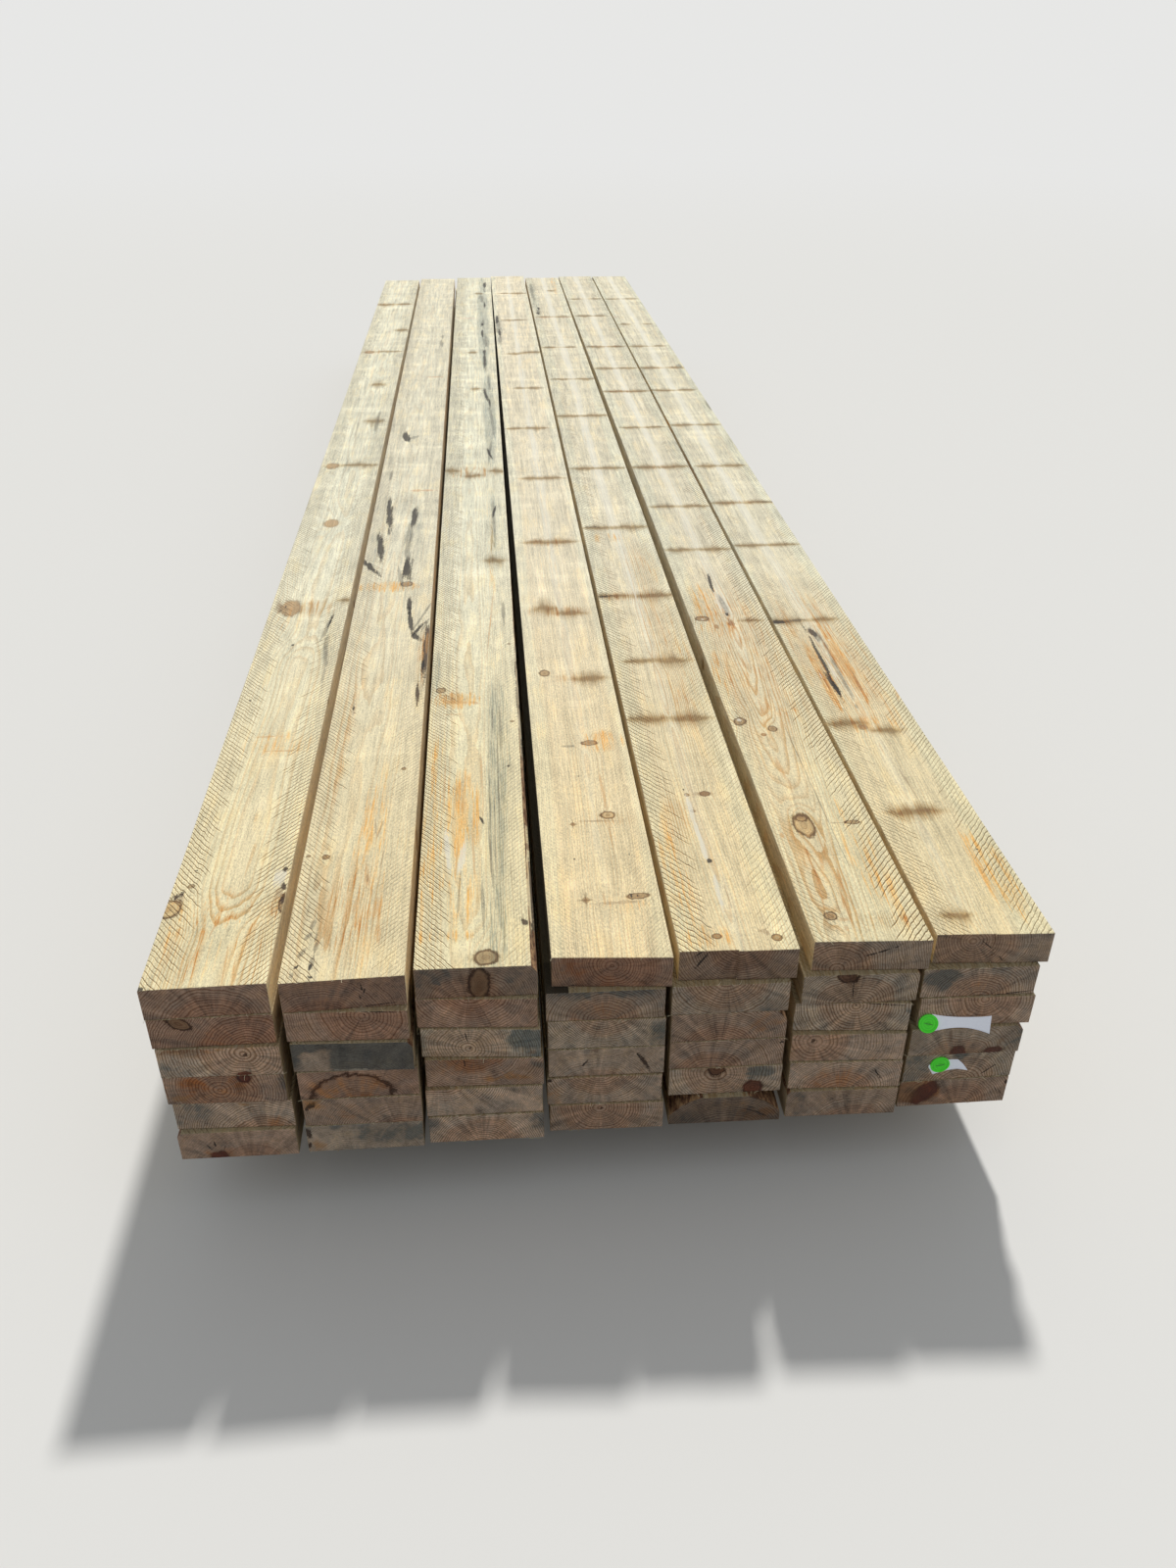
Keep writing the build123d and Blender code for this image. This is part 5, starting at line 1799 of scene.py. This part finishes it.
def paper_strip(name, outline, lift, settings, node):
    """A paper strip from its outline's two long edges, bent away from the wood.

    outline gives, for a share along the strip, the along place and the up places of
    its lower and upper edges; lift gives how far the paper stands off there.
    """
    middle, along, up, outwards, points = plate_frame(node)
    steps, rows = 48, 12
    back = min((Vector(point) - middle).dot(outwards) for point in points)
    mesh = bpy.data.meshes.new(name)
    work = bmesh.new()
    grid = []
    for i in range(steps + 1):
        column = []
        for j in range(rows + 1):
            side, low, high = outline(i / steps)
            height = low + (high - low) * j / rows
            off = back + lift(i / steps, j / rows)
            column.append(work.verts.new(middle + along * side + up * height + outwards * off))
        grid.append(column)
    for i in range(steps):
        for j in range(rows):
            work.faces.new((grid[i][j], grid[i + 1][j], grid[i + 1][j + 1], grid[i][j + 1]))
    bmesh.ops.recalc_face_normals(work, faces=work.faces)
    if sum((face.normal.dot(outwards) for face in work.faces)) < 0:
        bmesh.ops.reverse_faces(work, faces=work.faces)
    work.to_mesh(mesh)
    work.free()
    mesh.shade_smooth()
    piece = add_object(name, mesh)
    wall = piece.modifiers.new("Paper", "SOLIDIFY")
    wall.thickness = settings.paper_thickness
    wall.offset = 1.0
    solid = plain_mesh(piece)
    piece.modifiers.clear()
    piece.data = solid
    return piece


def upper_outline(share):
    """The upper strip: wide at its ends and drawn in between them."""
    half_length, half_height, waist = 37.5, 12.5, 5.0
    draw_in = waist * (1 - (2 * share - 1) ** 2)
    slack = 3.0 * max(share - 0.55, 0.0) ** 1.5 / 0.3
    side = -half_length + 2 * half_length * share
    return side * MM, (-half_height + draw_in - slack) * MM, (half_height - draw_in - slack * 0.3) * MM


def lower_outline(share):
    """The lower scrap: a torn corner on the left and a point on the right."""
    places = (-27.0, -19.0, -4.0, 12.0, 20.0, 27.0)
    lows = (1.0, -13.0, -8.0, -5.0, -6.0, -7.2)
    highs = (4.0, 9.0, 12.5, 12.0, 4.0, -6.0)
    side = places[0] + (places[-1] - places[0]) * share
    return side * MM, float(np.interp(side, places, lows)) * MM, float(np.interp(side, places, highs)) * MM


class LUMBER_OT_labels(bpy.types.Operator):
    """Make the bare paper strips, the staples and the finish of the buttons"""

    bl_idname = "lumber.labels"
    bl_label = "Labels"

    def execute(self, context):
        settings = context.scene.lumber_labels
        paper = paper_material(settings)
        curl = settings.curl

        def upper_lift(share, height):
            free = max(share - 0.30, 0.0) / 0.70
            wave = 0.9 * MM * math.sin(share * 9.0) * height
            return curl * free**1.7 * (0.75 + 0.5 * height) + max(wave, 0.0) * free

        def lower_lift(share, height):
            free = max(abs(share - 0.36) - 0.22, 0.0)
            return curl * 1.1 * free**1.5

        for name, outline, lift in (
            ("label_strip_upper", upper_outline, upper_lift),
            ("label_strip_lower", lower_outline, lower_lift),
        ):
            piece = paper_strip(name.replace("label_strip", "paper_strip"), outline, lift, settings, name)
            piece.data.materials.append(paper)
            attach(piece, "root")
            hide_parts(name)

        steel = steel_material(settings)
        for name, lean in (("label_button_upper", 14.0), ("label_button_lower", -12.0)):
            set_material(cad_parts[name], plastic_material(settings, name))
            staple = self.make_staple(name, lean, settings)
            staple.data.materials.append(steel)
            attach(staple, "root")
        return {"FINISHED"}

    def make_staple(self, button, lean, settings):
        """A wire staple driven through the middle of a button."""
        middle, along, up, outwards, _ = plate_frame(button)
        turn = math.radians(-lean)
        across = along * math.cos(turn) + up * math.sin(turn)
        half, depth, raised = 5.2 * MM, 2.4 * MM, 0.9 * MM
        seat = middle + outwards * 0.2 * MM
        curve = bpy.data.curves.new("staple", "CURVE")
        curve.dimensions = "3D"
        curve.bevel_depth = settings.wire / 2
        curve.bevel_resolution = 2
        curve.use_fill_caps = True
        spline = curve.splines.new("NURBS")
        route = [
            seat - across * half - outwards * depth,
            seat - across * half,
            seat - across * half + outwards * raised,
            seat + outwards * raised * 1.15,
            seat + across * half + outwards * raised,
            seat + across * half,
            seat + across * half - outwards * depth,
        ]
        spline.points.add(len(route) - 1)
        for point, place in zip(spline.points, route):
            point.co = (*place, 1.0)
        spline.order_u = 3
        spline.use_endpoint_u = True
        holder = add_object("staple_source", curve)
        mesh = plain_mesh(holder)
        bpy.data.objects.remove(holder)
        mesh.materials.clear()
        return add_object(button.replace("label_button", "staple"), mesh)


class LUMBER_OT_stage(bpy.types.Operator):
    """Set the floor, the light and the camera"""

    bl_idname = "lumber.stage"
    bl_label = "Stage"

    def execute(self, context):
        scene = context.scene
        settings = scene.lumber_stage
        self.make_floor(settings)
        self.light(scene, settings)
        self.aim_camera(scene)
        scene.view_settings.view_transform = "Standard"
        return {"FINISHED"}

    def make_floor(self, settings):
        """A wide floor whose far part fades into the pale backdrop."""
        half = 60.0
        mesh = bpy.data.meshes.new("floor")
        mesh.from_pydata([(x, y, 0.0) for y in (-half, half) for x in (-half, half)], [], [(0, 1, 3, 2)])
        floor = add_object("floor", mesh)
        material, graph = new_material("pale_floor")
        seen = self.background_ray(graph)
        x, y, _ = graph.split(graph.place())
        clear_radius, haze_radius = 3.5, 14.0
        far = graph.step(graph.root(x * x + y * y), clear_radius, haze_radius)
        colour = graph.mix(seen, settings.floor_bounce, settings.floor)
        near = graph.node("ShaderNodeBsdfDiffuse", inputs={"Color": colour})
        haze = graph.node("ShaderNodeEmission", inputs={"Color": settings.backdrop})
        shader = graph.node("ShaderNodeMixShader", inputs={0: seen * far, 1: near, 2: haze})
        graph.node("ShaderNodeOutputMaterial", inputs={"Surface": shader})
        mesh.materials.append(material)

    def background_ray(self, graph):
        """1 for what the camera sees, straight or through gloss and glass."""
        path = graph.node("ShaderNodeLightPath", output="Is Camera Ray")
        shiny = graph.most(graph.sibling(path, "Is Glossy Ray"), graph.sibling(path, "Is Transmission Ray"))
        return graph.most(path, shiny)

    def light(self, scene, settings):
        """Soft light from all round, and a soft lamp high up behind the stack."""
        world = bpy.data.worlds.new("soft_light")
        scene.world = world
        world.use_nodes = True
        world.node_tree.nodes.clear()
        graph = Graph(world.node_tree)
        dome = {"Color": settings.sky, "Strength": settings.sky_strength}
        sky = graph.node("ShaderNodeBackground", inputs=dome)
        backdrop = graph.node("ShaderNodeBackground", inputs={"Color": settings.backdrop})
        seen = self.background_ray(graph)
        shader = graph.node("ShaderNodeMixShader", inputs={0: seen, 1: sky, 2: backdrop})
        graph.node("ShaderNodeOutputWorld", inputs={"Surface": shader})
        lamp = bpy.data.lights.new("main_lamp", "SUN")
        lamp.energy = settings.lamp_strength
        lamp.angle = settings.lamp_softness
        lamp.color = settings.lamp
        toward = Matrix.Rotation(-settings.lamp_side, 3, "Z") @ Matrix.Rotation(settings.lamp_height, 3, "X")
        toward = toward @ Vector((0, 1, 0))
        add_object("main_lamp", lamp).rotation_euler = toward.to_track_quat("Z", "Y").to_euler()

    def aim_camera(self, scene):
        """The photograph's viewpoint: held at chest height in front of the labelled ends."""
        heading, tilt, roll = (math.radians(degrees) for degrees in (4.97, 31.91, 0.396))
        camera = bpy.data.cameras.new("camera")
        camera.lens = 27.79
        camera.sensor_width = 36.0
        camera.sensor_fit = "AUTO"
        turned = (
            Matrix.Rotation(-heading, 3, "Z")
            @ Matrix.Rotation(math.pi / 2 - tilt, 3, "X")
            @ Matrix.Rotation(roll, 3, "Z")
        )
        scene.camera = add_object("camera", camera)
        scene.camera.location = (-0.12875, -3.5359, 1.3380)
        scene.camera.rotation_euler = turned.to_euler()


PIECES = (LUMBER_OT_planks, LUMBER_OT_bearers, LUMBER_OT_splinters, LUMBER_OT_labels, LUMBER_OT_stage)
GROUPS = {
    "lumber_planks": PlankSettings,
    "lumber_wood": WoodSettings,
    "lumber_labels": LabelSettings,
    "lumber_stage": StageSettings,
}


class LUMBER_PT_stack(bpy.types.Panel):
    """The settings and the steps that finish the stack"""

    bl_label = "Stack of lumber"
    bl_idname = "LUMBER_PT_stack"
    bl_space_type = "VIEW_3D"
    bl_region_type = "UI"
    bl_category = "Lumber"

    def draw(self, context):
        layout = self.layout
        for operator in PIECES:
            layout.operator(operator.bl_idname)
        for name, group in GROUPS.items():
            box = layout.box()
            for setting in group.__annotations__:
                box.prop(getattr(context.scene, name), setting)


def register():
    for group in GROUPS.values():
        bpy.utils.register_class(group)
    for name, group in GROUPS.items():
        setattr(bpy.types.Scene, name, PointerProperty(type=group))
    for operator in PIECES:
        bpy.utils.register_class(operator)
    bpy.utils.register_class(LUMBER_PT_stack)


def unregister():
    bpy.utils.unregister_class(LUMBER_PT_stack)
    for operator in reversed(PIECES):
        bpy.utils.unregister_class(operator)
    for name in GROUPS:
        delattr(bpy.types.Scene, name)
    for group in reversed(list(GROUPS.values())):
        bpy.utils.unregister_class(group)


def main():
    """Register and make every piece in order."""
    register()
    bpy.ops.lumber.planks()
    bpy.ops.lumber.bearers()
    bpy.ops.lumber.splinters()
    bpy.ops.lumber.labels()
    bpy.ops.lumber.stage()


if __name__ == "__main__":
    main()
